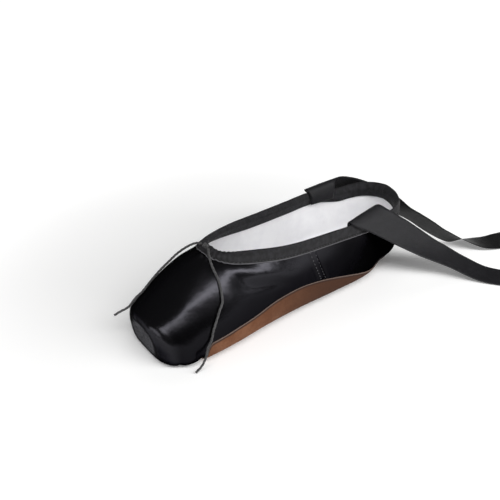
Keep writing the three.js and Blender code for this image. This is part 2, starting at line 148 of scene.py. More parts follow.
@dataclass
class Last:
    """The form that the shoe is made on, with its collar and its sole's edge."""

    length: float = 240.0
    ball_width: float = 75.0
    throat_height: float = 64.5
    heel_height: float = 55.5
    side_dip: float = 7.5
    throat_depth: float = 57.5
    heel_radius: float = 29.0
    platform_edge: float = 5.0
    platform_lean: float = 3.0
    heel_power: float = 2.3
    sole_corner: float = 9.0
    corner_power: float = 2.4
    probe: float = 0.01
    sections: Table = Table(
        "at width widest low ridge low_power high_power",
        (
            (0.0, 0.55, 0.26, 0.012, 0.5, 4.2, 2.3),
            (0.05, 0.885, 0.19, 0.008, 0.59, 4.0, 2.2),
            (0.12, 0.98, 0.2, 0.008, 0.79, 3.3, 2.1),
            (0.19, 1.0, 0.22, 0.005, 0.95, 3.2, 2.0),
            (0.24, 0.985, 0.22, 0.005, 1.003, 3.2, 2.0),
            (0.35, 0.94, 0.23, 0.005, 1.13, 3.0, 2.0),
            (0.48, 0.92, 0.23, 0.008, 1.28, 3.0, 2.0),
            (0.62, 0.94, 0.22, 0.022, 1.33, 3.3, 2.1),
            (0.77, 0.95, 0.25, 0.022, 1.38, 3.3, 2.2),
            (0.88, 0.77, 0.27, 0.005, 1.5, 2.4, 2.3),
            (1.0, 0.77, 0.27, 0.005, 1.55, 2.4, 2.3),
        ),
    )
    topline_dips: Table = Table(
        "at dip",
        ((0.0, 0.0), (0.12, 0.06), (0.3, 0.4), (0.5, 0.42), (0.7, 0.4), (0.85, 0.75), (1.0, 0.0)),
    )
    sole_edges: Table = Table(
        "at rise",
        (
            (0.0, 0.62), (0.11, 0.68), (0.22, 0.78), (0.3, 0.85), (0.38, 0.99), (0.48, 1.03),
            (0.57, 0.92), (0.67, 0.69), (0.77, 0.45), (0.88, 0.26), (1.0, 0.2),
        ),
    )
    known: dict[float, Section] = field(default_factory=dict)

    def __post_init__(self) -> None:
        """Works out the places that follow from the sizes."""
        self.ball_station = 0.35 * self.length
        self.heel_start = self.length - self.heel_radius
        self.collar_run = self.length - self.throat_depth
        self.lean_reach = 4 * self.platform_edge

    def section(self, station: float) -> Section:
        """The cross section at a station from the platform.

        Args:
            station: distance from the platform.

        Returns:
            The section, in millimetres.
        """
        if station not in self.known:
            at = station / self.length
            under = min(station, self.heel_start) / self.length
            read = self.sections.read
            self.known[station] = Section(
                read("width", at) * self.ball_width / 2,
                read("widest", under) * self.throat_height,
                read("low", under) * self.throat_height,
                read("ridge", at) * self.throat_height,
                read("low_power", under),
                read("high_power", at),
            )
        return self.known[station]

    def inset(self, station: float) -> float:
        """How far the platform's rounded edge draws a section in."""
        left = max(self.platform_edge - station, 0)
        return self.platform_edge - math.sqrt(self.platform_edge**2 - left**2)

    def turn(self, station: float) -> float:
        """The turn around the heel: none along the sides, a quarter at the back."""
        return max(station - self.heel_start, 0) / self.heel_radius * QUARTER

    def reach(self, station: float, grow: float) -> float:
        """The half width, and along the heel the reach from the heel's axis.

        Args:
            station: distance from the platform.
            grow: how far off the form, outward if positive.

        Returns:
            The reach, in millimetres.
        """
        turn = self.turn(station)
        width = self.section(station).half_width + grow
        return power_radius(
            math.cos(turn), math.sin(turn), width, self.heel_radius + grow, self.heel_power
        )

    def point(self, station: float, angle: float, grow: float = 0.0) -> Vector:
        """A point of the form on the left side.

        Args:
            station: distance from the platform.
            angle: place over the section, from the bottom to the top.
            grow: how far off the form, outward if positive.

        Returns:
            The point, in millimetres.
        """
        section = self.section(station)
        inset = self.inset(station)
        below = angle < 0
        height = section.widest - section.low if below else section.ridge - section.widest
        power = section.low_power if below else section.high_power
        reach = self.reach(station, grow) - inset
        c, s = math.cos(angle), math.sin(angle)
        radius = power_radius(c, s, reach, height + grow - inset, power)
        turn = self.turn(station)
        out, z = radius * c, section.widest + radius * s
        near_toe = max(1 - station / self.lean_reach, 0)
        lean = self.platform_lean * (z - section.widest) / section.ridge * near_toe
        along = min(station, self.heel_start) - self.ball_station - grow * near_toe - lean
        return Vector((out * math.cos(turn), along + out * math.sin(turn), z))

    def angle_at(self, station: float, height: float) -> float:
        """The angle at which a section reaches a height.

        Args:
            station: distance from the platform.
            height: height over the floor.

        Returns:
            The angle, from the bottom to the top.
        """
        section = self.section(station)
        below = height < section.widest
        rise = section.widest - section.low if below else section.ridge - section.widest
        power = section.low_power if below else section.high_power
        share = min(abs(height - section.widest) / rise, 1)
        out = self.reach(station, 0) * (1 - share**power) ** (1 / power)
        return math.atan2(height - section.widest, out)

    def collar_angle(self, station: float) -> float:
        """The top of the upper: the ridge over the vamp, the topline behind it.

        Args:
            station: distance from the platform.

        Returns:
            The angle of the collar, or of the ridge.
        """
        if station <= self.throat_depth:
            return QUARTER
        along = (station - self.throat_depth) / self.collar_run
        line = self.throat_height + (self.heel_height - self.throat_height) * along
        return self.angle_at(station, line - self.side_dip * self.topline_dips.read("dip", along))

    def sole_angle(self, station: float, tip: float, side: float) -> float:
        """The edge of a cupped sole with a round tip.

        Args:
            station: distance from the platform.
            tip: station at which the sole begins.
            side: height of the sole's edge at its full share.

        Returns:
            The angle of the edge.
        """
        full = self.angle_at(station, side * self.sole_edges.read("rise", station / self.length))
        along = min(max((station - tip) / self.sole_corner, 0), 1)
        share = (1 - (1 - along) ** self.corner_power) ** (1 / self.corner_power)
        return -QUARTER + (full + QUARTER) * share

    def beneath(self, point: Vector) -> tuple[float, float]:
        """Station and angle of the form beneath a point near its left side.

        Args:
            point: the point, in millimetres.

        Returns:
            The station and the angle.
        """
        along = point.y + self.ball_station
        back = along - self.heel_start
        if back <= 0:
            return along, math.atan2(point.z - self.section(along).widest, abs(point.x))
        turn = math.atan2(back, abs(point.x))
        station = self.heel_start + turn / QUARTER * self.heel_radius
        out = math.hypot(point.x, back)
        return station, math.atan2(point.z - self.section(station).widest, out)

    def collar_frame(self, station: float) -> tuple[Vector, Vector]:
        """The collar's point at a station, and the way down the upper from it.

        Args:
            station: distance from the platform.

        Returns:
            The point, and the unit way down from it.
        """

        def at(place: float) -> Vector:
            """The collar's point at another station."""
            return self.point(place, self.collar_angle(place))

        point = at(station)
        ahead = at(min(station + self.probe, self.length))
        along = (ahead - at(max(station - self.probe, self.throat_depth))).normalized()
        if station == self.throat_depth:
            along = Vector((1, 0, 0))
        if station == self.length:
            along = Vector((-1, 0, 0))
        place, angle = self.beneath(point)
        turned = self.point(place, angle + self.probe) - self.point(place, angle - self.probe)
        after = self.point(min(place + self.probe, self.length), angle)
        normal = (after - self.point(place - self.probe, angle)).cross(turned).normalized()
        down = normal.cross(along).normalized()
        return point, -down if down.z > 0 else down

    def below_collar(self, frame_at: tuple[Vector, Vector], depth: float, grow: float) -> Vector:
        """A point so far down the upper from the collar, and so far off it.

        Args:
            frame_at: the collar's point and the way down from it.
            depth: how far down.
            grow: how far off the form, outward if positive.

        Returns:
            The point, in millimetres.
        """
        point, down = frame_at
        station, angle = self.beneath(point + down * depth)
        return self.point(station, angle, grow)


def sided(point: Vector, side: int) -> Vector:
    """A point of the left side, or its mirror image on the right."""
    return Vector((side * point.x, point.y, point.z))


def smooth_step(value: float) -> float:
    """A smooth step from 0 to 1 between 0 and 1."""
    t = min(max(value, 0), 1)
    return t * t * (3 - 2 * t)


@dataclass(frozen=True)
class SmoothPath:
    """A centripetal cubic through points, as a function from 0 to 1."""

    points: tuple[Vector, ...]

    def at(self, share: float) -> Vector:
        """The point at a share of the path's rows.

        Args:
            share: the share, from 0 to 1.

        Returns:
            The point there.
        """
        points = self.points
        last = len(points) - 1
        k = min(int(share * last), last - 1)
        t = share * last - k
        p1, p2 = points[k], points[k + 1]
        p0 = points[k - 1] if k else p1 * 2 - p2
        p3 = points[k + 2] if k + 2 <= last else p2 * 2 - p1
        d0, d1, d2 = (math.sqrt((b - a).length) for a, b in ((p0, p1), (p1, p2), (p2, p3)))
        d1 = d1 or 1.0
        d0, d2 = d0 or d1, d2 or d1
        start = ((p1 - p0) / d0 - (p2 - p0) / (d0 + d1) + (p2 - p1) / d1) * d1
        end = ((p2 - p1) / d1 - (p3 - p1) / (d1 + d2) + (p3 - p2) / d2) * d1
        rise = p2 - p1
        return p1 + start * t + (rise * 3 - start * 2 - end) * t**2 + (start + end - rise * 2) * t**3

    def even(self, count: int) -> list[float]:
        """Shares that lie evenly along the path's length.

        Args:
            count: the number of steps.

        Returns:
            The shares, one more than the steps.
        """
        fine = count * 8
        spots = [self.at(i / fine) for i in range(fine + 1)]
        run = [0.0]
        for a, b in zip(spots, spots[1:]):
            run.append(run[-1] + (b - a).length)
        shares, k = [], 0
        for i in range(count + 1):
            goal = run[-1] * i / count
            while k < fine - 1 and run[k + 1] < goal:
                k += 1
            part = (goal - run[k]) / max(run[k + 1] - run[k], 1e-9)
            shares.append(min((k + min(max(part, 0), 1)) / fine, 1.0))
        return shares


Placer = Callable[[int, int], tuple[Vector, tuple[float, float]]]


@dataclass
class Cloth:
    """A mesh made from a grid that is laid over a form."""

    name: str
    columns: int
    rows: int
    place: Placer

    def mesh(self, inside: Callable[[Vector], Vector] | None = None) -> bpy.types.Object:
        """Lays the grid and welds the edges that meet.

        Args:
            inside: gives for a point the point that its faces look away from.

        Returns:
            The object, with its mesh in metres.
        """
        bm = bmesh.new()
        bmesh.ops.create_grid(bm, x_segments=self.columns, y_segments=self.rows, size=0.5)
        spots = {}
        for vert in bm.verts:
            i = round((vert.co.x + 0.5) * self.columns)
            j = round((vert.co.y + 0.5) * self.rows)
            spots[vert] = self.place(i, j)
        layer = bm.loops.layers.uv.new(CLOTH_UV)
        for vert, (point, cloth) in spots.items():
            vert.co = point * MM
            for loop in vert.link_loops:
                loop[layer].uv = (cloth[0] * MM, cloth[1] * MM)
        bmesh.ops.remove_doubles(bm, verts=bm.verts, dist=WELD)
        bmesh.ops.dissolve_degenerate(bm, edges=bm.edges, dist=WELD)
        if inside is not None:
            turn_outward(bm, inside)
        return finished(bm, self.name)


def turn_outward(bm: bmesh.types.BMesh, inside: Callable[[Vector], Vector]) -> None:
    """Turns a mesh's faces to look away from inside points.

    Args:
        bm: the mesh, in metres.
        inside: gives for a point the point that its faces look away from.
    """
    bmesh.ops.recalc_face_normals(bm, faces=bm.faces)
    bm.normal_update()
    total = 0.0
    for face in bm.faces:
        centre = face.calc_center_median()
        total += face.calc_area() * face.normal.dot(centre - inside(centre / MM) * MM)
    if total < 0:
        bmesh.ops.reverse_faces(bm, faces=bm.faces)


def finished(bm: bmesh.types.BMesh, name: str) -> bpy.types.Object:
    """Turns a bmesh into a smooth-shaded object at the origin.

    Args:
        bm: the mesh, which is freed.
        name: the piece's name.

    Returns:
        The object, linked to the scene.
    """
    mesh = bpy.data.meshes.new(name)
    for face in bm.faces:
        face.smooth = True
    bm.to_mesh(mesh)
    bm.free()
    made = bpy.data.objects.new(name, mesh)
    bpy.context.scene.collection.objects.link(made)
    return made


def thicken(piece: bpy.types.Object, thickness: float, offset: float = -1.0) -> None:
    """Gives a sheet its thickness, in millimetres, with Solidify.

    Args:
        piece: the sheet.
        thickness: its thickness in millimetres.
        offset: which way it grows: -1 inwards, 1 outwards, 0 both.
    """
    solid = piece.modifiers.new("thickness", "SOLIDIFY")
    solid.thickness = thickness * MM
    solid.offset = offset
    solid.use_even_offset = False


def dress(piece: bpy.types.Object, material: bpy.types.Material, slot: Slot, *nodes: str) -> None:
    """Gives a piece its finish and its body, and hides the CAD nodes that it stands for.

    Args:
        piece: the piece.
        material: its finish.
        slot: the record's slot; not used.
        nodes: the CAD nodes that it stands for.
    """
    piece.data.materials.clear()
    piece.data.materials.append(material)
    if nodes:
        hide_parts(*nodes)
    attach(piece, "root")
    LOG.info("%s: %d faces", piece.name, len(piece.data.polygons))


# Finishes


class Graph:
    """A material's nodes, made by one method, with maths written as expressions."""

    def __init__(self, name: str) -> None:
        """Makes the material with an empty tree.

        Args:
            name: the material's name.
        """
        self.material = bpy.data.materials.new(name)
        self.material.use_nodes = True
        self.tree = self.material.node_tree
        self.tree.nodes.clear()

    def node(
        self, kind: str, settings: Mapping[str, object] | None = None, inputs: Mapping | None = None
    ) -> bpy.types.Node:
        """Makes a node.

        Args:
            kind: the node's type.
            settings: its settings, such as a Math node's operation, which are set first.
            inputs: the values or links of its sockets, by name or index.

        Returns:
            The node.
        """
        made = self.tree.nodes.new(kind)
        for key, value in (settings or {}).items():
            setattr(made, key, value)
        for key, value in (inputs or {}).items():
            self.feed(made.inputs[key], value)
        return made

    def feed(self, socket: bpy.types.NodeSocket, value: object) -> None:
        """Links a socket to a value's socket, or sets it.

        Args:
            socket: the socket.
            value: a number, a colour, an amount or another socket.
        """
        if isinstance(value, Amount):
            self.tree.links.new(value.socket, socket)
        elif isinstance(value, bpy.types.NodeSocket):
            self.tree.links.new(value, socket)
        else:
            socket.default_value = value

    def amount(self, node: bpy.types.Node, output: str | int = 0) -> "Amount":
        """A node's output as a number to reckon with."""
        return Amount(self, node.outputs[output])

    def cloth(self) -> tuple["Amount", "Amount", bpy.types.NodeSocket]:
        """Place across and along the cloth, in metres, and both as a vector.

        Returns:
            The place across, the place along, and the vector.
        """
        uv = self.node("ShaderNodeUVMap", {"uv_map": CLOTH_UV})
        parts = self.node("ShaderNodeSeparateXYZ", None, {"Vector": uv.outputs[0]})
        return self.amount(parts, 0), self.amount(parts, 1), uv.outputs[0]

    def place(self) -> bpy.types.NodeSocket:
        """The point on the object, in metres."""
        return self.node("ShaderNodeTexCoord").outputs["Object"]

    def backward(self) -> "Amount":
        """How far back on the object a point lies, in metres."""
        parts = self.node("ShaderNodeSeparateXYZ", None, {"Vector": self.place()})
        return self.amount(parts, 1)

    def noise(
        self,
        vector: bpy.types.NodeSocket,
        size: float,
        detail: float = 3.0,
        stretch: Sequence[float] = (1, 1, 1),
    ) -> "Amount":
        """Soft noise.

        Args:
            vector: where it is read.
            size: size of its blobs in metres.
            detail: number of finer layers.
            stretch: how much longer the blobs are along each way.

        Returns:
            The noise, from 0 to 1.
        """
        mapped = self.node(
            "ShaderNodeMapping", {"vector_type": "POINT"},
            {"Vector": vector, "Scale": tuple(1 / (size * way) for way in stretch)},
        )
        made = self.node(
            "ShaderNodeTexNoise", None,
            {"Vector": mapped.outputs[0], "Scale": 1.0, "Detail": detail, "Roughness": 0.55},
        )
        return self.amount(made, 0)

    def blend(
        self, factor: object, first: Sequence[float] | object, second: Sequence[float] | object
    ) -> bpy.types.NodeSocket:
        """Mixes two colours.

        Args:
            factor: share of the second colour.
            first: a colour or a link.
            second: a colour or a link.

        Returns:
            The mixed colour's socket.
        """
        mix = self.node("ShaderNodeMix", {"data_type": "RGBA", "clamp_factor": True})
        for index, value in ((0, factor), (6, first), (7, second)):
            if isinstance(value, tuple) and len(value) == 3:
                value = (*value, 1.0)
            self.feed(mix.inputs[index], value)
        return mix.outputs[2]

    def bump(
        self, height: "Amount", depth: float, under: bpy.types.NodeSocket | None = None
    ) -> bpy.types.NodeSocket:
        """A bump from a height of 0 to 1.

        Args:
            height: the height.
            depth: the relief's depth in millimetres.
            under: the normal of a coarser bump under it.

        Returns:
            The normal's socket.
        """
        inputs = {"Strength": 1.0, "Distance": depth * MM, "Height": height}
        if under is not None:
            inputs["Normal"] = under
        return self.node("ShaderNodeBump", None, inputs).outputs[0]

    def surface(self, inputs: Mapping[str, object]) -> bpy.types.Material:
        """Ends the tree in one Principled shader.

        Args:
            inputs: its sockets' values and links.

        Returns:
            The material.
        """
        shader = self.node("ShaderNodeBsdfPrincipled", None, inputs)
        self.node("ShaderNodeOutputMaterial", None, {"Surface": shader.outputs[0]})
        return self.material


@dataclass(frozen=True)
class Amount:
    """A number on a socket. Its operators add Math nodes."""

    graph: Graph
    socket: bpy.types.NodeSocket

    def maths(self, operation: str, *values: object) -> "Amount":
        """Adds one Math node.

        Args:
            operation: its operation.
            values: its values in order.

        Returns:
            The result.
        """
        node = self.graph.node("ShaderNodeMath", {"operation": operation}, dict(enumerate(values)))
        return Amount(self.graph, node.outputs[0])

    def __add__(self, other: object) -> "Amount":
        """This plus another."""
        return self.maths("ADD", self, other)

    def __radd__(self, other: object) -> "Amount":
        """Another plus this."""
        return self.maths("ADD", other, self)

    def __sub__(self, other: object) -> "Amount":
        """This less another."""
        return self.maths("SUBTRACT", self, other)

    def __rsub__(self, other: object) -> "Amount":
        """Another less this."""
        return self.maths("SUBTRACT", other, self)

    def __mul__(self, other: object) -> "Amount":
        """This times another."""
        return self.maths("MULTIPLY", self, other)

    def __rmul__(self, other: object) -> "Amount":
        """Another times this."""
        return self.maths("MULTIPLY", other, self)

    def wave(self, pitch: float) -> "Amount":
        """A smooth wave from 0 to 1 that repeats at a pitch in metres."""
        return self.maths("SINE", self * (2 * math.pi / pitch)) * 0.5 + 0.5

    def between(self, low: float, high: float) -> "Amount":
        """0 below the first value, 1 past the second, smooth between them.

        Args:
            low: the first value.
            high: the second value.

        Returns:
            The share.
        """
        node = self.graph.node(
            "ShaderNodeMapRange", {"interpolation_type": "SMOOTHSTEP"},
            {"Value": self, "From Min": low, "From Max": high},
        )
        return Amount(self.graph, node.outputs[0])


@dataclass(frozen=True)
class SatinFinish:
    """Black satin. Its long floats glint like metal, but stay dark at the silhouette."""

    dark: tuple[float, float, float] = (0.016, 0.0157, 0.018)
    pale: tuple[float, float, float] = (0.03, 0.0295, 0.0335)
    # Painted light: the platform's face is lighter, as light from the bright floor in front; the face is
    # also matter.
    platform_painted_light: tuple[float, float, float] = (0.14, 0.139, 0.146)
    platform_place: tuple[float, float] = (-0.0015, 0.003)
    # Painted shade: towards the heel the satin is darker.
    heel: tuple[float, float, float] = (0.0065, 0.0063, 0.0072)
    heel_shade_place: tuple[float, float] = (0.045, 0.08)
    # Painted shade: low on both sides, beyond the glint's band, the satin is darker.
    side: tuple[float, float, float] = (0.0105, 0.0102, 0.012)
    side_shade_place: tuple[float, float] = (0.030, 0.039)
    side_shade_start: tuple[float, float] = (0.005, 0.012)
    glint: float = 0.9
    silhouette: tuple[float, float, float] = (0.12, 0.12, 0.13)
    roughness: float = 0.24
    spread: float = 0.14
    platform_matt: float = 0.2
    thread_depth: float = 0.05
    pucker_depth: float = 0.2

    def material(self) -> bpy.types.Material:
        """Builds the material.

        Returns:
            The material.
        """
        graph = Graph("black_satin")
        across, along, cloth = graph.cloth()
        place = graph.place()
        threads = graph.noise(cloth, 0.0011, 2.0, (0.3, 4.0, 1.0))
        cloud = graph.noise(place, 0.03, 2.0)
        fine = graph.noise(cloth, 0.0014, 3.0, (0.5, 2.0, 1.0))
        puckers = graph.noise(place, 0.009, 2.0)
        coarse = graph.bump(puckers, self.pucker_depth)
        # The platform's face gets painted light.
        flat = (0 - along).between(*self.platform_place)
        vamp = graph.blend(threads * 0.6 + cloud * 0.4, self.dark, self.pale)
        # Low on both sides the satin is painted darker, as painted shade.
        painted_side_shade = across.maths("ABSOLUTE", across).between(*self.side_shade_place)
        painted_side_shade = painted_side_shade * along.between(*self.side_shade_start)
        vamp = graph.blend(painted_side_shade, vamp, self.side)
        # Towards the heel the satin is painted darker, as painted shade.
        vamp = graph.blend(graph.backward().between(*self.heel_shade_place), vamp, self.heel)
        return graph.surface({
            "Base Color": graph.blend(flat, vamp, self.platform_painted_light),
            "Metallic": self.glint,
            "Roughness": self.roughness + (threads - 0.5) * self.spread + flat * self.platform_matt,
            "Specular IOR Level": 0.0,
            "Specular Tint": (*self.silhouette, 1.0),
            "Normal": graph.bump(fine, self.thread_depth, coarse),
        })


@dataclass(frozen=True)
class LeatherFinish:
    """Matt brown sole leather, painted darker to the heel as shade, with a painted highlight along its edge
    and a painted seam shadow under it.
    """

    brown: tuple[float, float, float] = (0.125, 0.049, 0.023)
    worn: tuple[float, float, float] = (0.18, 0.08, 0.042)
    # Painted shade towards the heel.
    rear_painted_shade: tuple[float, float, float] = (0.055, 0.023, 0.0125)
    # The grain's dark speckles, and the painted seam shadow under the edge.
    line: tuple[float, float, float] = (0.03, 0.015, 0.011)
    # A painted highlight along the edge.
    edge_painted_highlight: tuple[float, float, float] = (0.13, 0.095, 0.08)
    rear_shade_place: tuple[float, float] = (-0.03, 0.06)
    leather_highlight_width: float = 0.0009
    seam_shadow_width: float = 0.0026
    leather_highlight_core: float = 0.0004
    speckle: float = 0.35
    roughness: float = 0.78
    spread: float = 0.2
    gloss: float = 0.12
    grain_depth: float = 0.09
    dent_depth: float = 0.25

    def material(self) -> bpy.types.Material:
        """Builds the material. The cloth's first coordinate is the distance from the edge.

        Returns:
            The material.
        """
        graph = Graph("sole_leather")
        edge, _, _ = graph.cloth()
        place = graph.place()
        grain = graph.noise(place, 0.0009, 4.0)
        patches = graph.noise(place, 0.014, 3.0)
        front = graph.blend(patches.between(0.3, 0.7), self.brown, self.worn)
        # The leather is painted darker towards the heel, as painted shade.
        base = graph.blend(graph.backward().between(*self.rear_shade_place), front, self.rear_painted_shade)
        speckled = graph.blend(grain.between(0.45, 0.75) * self.speckle, base, self.line)
        # A painted seam shadow runs just inside the edge's painted highlight.
        with_seam_shadow = graph.blend(1 - edge.between(self.leather_highlight_width, self.seam_shadow_width), speckled, self.line)
        return graph.surface({
            # The edge itself gets a painted highlight.
            "Base Color": graph.blend(1 - edge.between(self.leather_highlight_core, self.leather_highlight_width), with_seam_shadow, self.edge_painted_highlight),
            "Roughness": self.roughness + (grain - 0.5) * self.spread,
            "Specular IOR Level": self.gloss,
            "Normal": graph.bump(grain, self.grain_depth, graph.bump(patches, self.dent_depth)),
        })


@dataclass(frozen=True)
class CottonFinish:
    """White cotton lining with a plain weave."""

    name: str = "white_cotton"
    white: tuple[float, float, float] = (0.94, 0.937, 0.95)
    shade: tuple[float, float, float] = (0.85, 0.845, 0.87)
    pitch: float = 0.0007
    roughness: float = 0.9
    gloss: float = 0.2
    weave_depth: float = 0.04
    rumple_depth: float = 0.5

    def material(self) -> bpy.types.Material:
        """Builds the material.

        Returns:
            The material.
        """
        graph = Graph(self.name)
        across, along, _ = graph.cloth()
        weave = across.wave(self.pitch) * along.wave(self.pitch)
        cloud = graph.noise(graph.place(), 0.012, 3.0)
        return graph.surface({
            "Base Color": graph.blend(cloud.between(0.35, 0.75) * 0.6, self.white, self.shade),
            "Roughness": self.roughness - weave * 0.1,
            "Specular IOR Level": self.gloss,
            "Normal": graph.bump(weave, self.weave_depth, graph.bump(cloud, self.rumple_depth)),
        })


@dataclass(frozen=True)
class TapeFinish:
    """Ribbed dark tape. Its ribs cross it, and one edge may carry a painted highlight with a dark line
    beside it.
    """

    name: str = "ribbed_tape"
    dark: tuple[float, float, float] = (0.0022, 0.0021, 0.0024)
    pale: tuple[float, float, float] = (0.02, 0.0192, 0.0222)
    # A painted highlight along one edge.
    edge: tuple[float, float, float] = (0.085, 0.083, 0.09)
    tape_highlight_width: float = 0.0
    # From this run along the cloth on, the tape is painted darker, as painted shade.
    turned: tuple[float, float] | None = None
    turned_painted_shade: tuple[float, float, float] = (0.0022, 0.0022, 0.0026)
    rib: float = 0.0008
    rib_depth: float = 0.14
    wear_depth: float = 0.15
    roughness: float = 0.7
    gloss: float = 0.25
    sheen: float = 0.04

    def material(self) -> bpy.types.Material:
        """Builds the material. Ribs repeat along the cloth's second coordinate.

        Returns:
            The material.
        """
        graph = Graph(self.name)
        across, along, cloth = graph.cloth()
        ribs = along.wave(self.rib)
        wear = graph.noise(cloth, 0.004, 3.0)
        shade = graph.blend(ribs * 0.3 + wear.between(0.3, 0.7) * 0.7, self.dark, self.pale)
        # A painted highlight along the edge, with a dark line beside it.
        if self.tape_highlight_width:
            width = self.tape_highlight_width
            shade = graph.blend(1 - across.between(width * 1.7, width * 2.3), shade, self.dark)
            shade = graph.blend(1 - across.between(width * 0.6, width), shade, self.edge)
        # Past the turned run, the tape is painted darker, as painted shade.
        if self.turned:
            shade = graph.blend(along.between(*self.turned), shade, self.turned_painted_shade)
        return graph.surface({
            "Base Color": shade,
            "Roughness": self.roughness + (wear - 0.5) * 0.12,
            "Specular IOR Level": self.gloss,
            "Sheen Weight": self.sheen,
            "Sheen Roughness": 0.5,
            "Normal": graph.bump(ribs, self.rib_depth, graph.bump(wear, self.wear_depth)),
        })


@dataclass(frozen=True)
class ThreadFinish:
    """Twisted thread or cord, with pale strands."""

    name: str
    dark: tuple[float, float, float]
    pale: tuple[float, float, float]
    strand: float = 0.0006
    strand_depth: float = 0.06
    roughness: float = 0.8
    gloss: float = 0.35
    sheen: float = 0.05

    def material(self) -> bpy.types.Material:
        """Builds the material.

        Returns:
            The material.
        """
        graph = Graph(self.name)
        fibres = graph.noise(graph.place(), self.strand, 3.0)
        return graph.surface({
            "Base Color": graph.blend(fibres.between(0.3, 0.7), self.dark, self.pale),
            "Roughness": self.roughness - fibres * 0.15,
            "Specular IOR Level": self.gloss,
            "Sheen Weight": self.sheen,
            "Normal": graph.bump(fibres, self.strand_depth),
        })


@dataclass(frozen=True)
class FloorFinish:
    """The pale paper that the shoe stands on. It glows more away from the shoe."""

    pale: tuple[float, float, float] = (0.96, 0.96, 0.957)
    glow: float = 0.8
    glow_reach: tuple[float, float] = (0.12, 0.5)
    glow_near: float = 0.15
    roughness: float = 0.75
    gloss: float = 0.1

    def material(self) -> bpy.types.Material:
        """Builds the material.

        Returns:
            The material.
        """
        graph = Graph("pale_paper")
        cloud = graph.noise(graph.place(), 0.4, 2.0)
        warm = tuple(c * 0.985 for c in self.pale)
        away = graph.node("ShaderNodeVectorMath", {"operation": "LENGTH"}, {"Vector": graph.place()})
        glow = graph.amount(away, "Value").between(*self.glow_reach)
        return graph.surface({
            "Base Color": graph.blend(cloud, self.pale, warm),
            "Roughness": self.roughness,
            "Specular IOR Level": self.gloss,
            "Emission Color": graph.blend(glow, (self.glow_near,) * 3, (1.0,) * 3),
            "Emission Strength": self.glow,
        })


# The pieces


@dataclass(frozen=True)
class Fold:
    """A soft ridge, or with a negative height a trough, along a line on the upper.

    Ends are places in stations and in degrees over the section.
    """

    start: tuple[float, float]
    end: tuple[float, float]
    width: float
    height: float
    sides: tuple[Side, ...] = (Side.LEFT,)
    reach: float = 3.0
    blunt: float = 0.12

    def lift(self, station: float, degrees: float, radius: float) -> float:
        """How far the fold lifts a place off the form, in millimetres.

        Args:
            station: distance from the platform.
            degrees: place over the section.
            radius: radius that turns degrees into a distance.

        Returns:
            The lift, in millimetres.
        """
        ax, ay = self.start[0], math.radians(self.start[1]) * radius
        bx, by = self.end[0], math.radians(self.end[1]) * radius
        px, py = station, math.radians(degrees) * radius
        vx, vy = bx - ax, by - ay
        span = vx * vx + vy * vy
        t = ((px - ax) * vx + (py - ay) * vy) / span
        near = min(max(t, 0), 1)
        away = math.hypot(px - ax - near * vx, py - ay - near * vy) / self.width
        if away > self.reach:
            return 0.0
        taper = math.sin(math.pi * (self.blunt + (1 - 2 * self.blunt) * near))
        return self.height * taper * math.exp(-away * away)


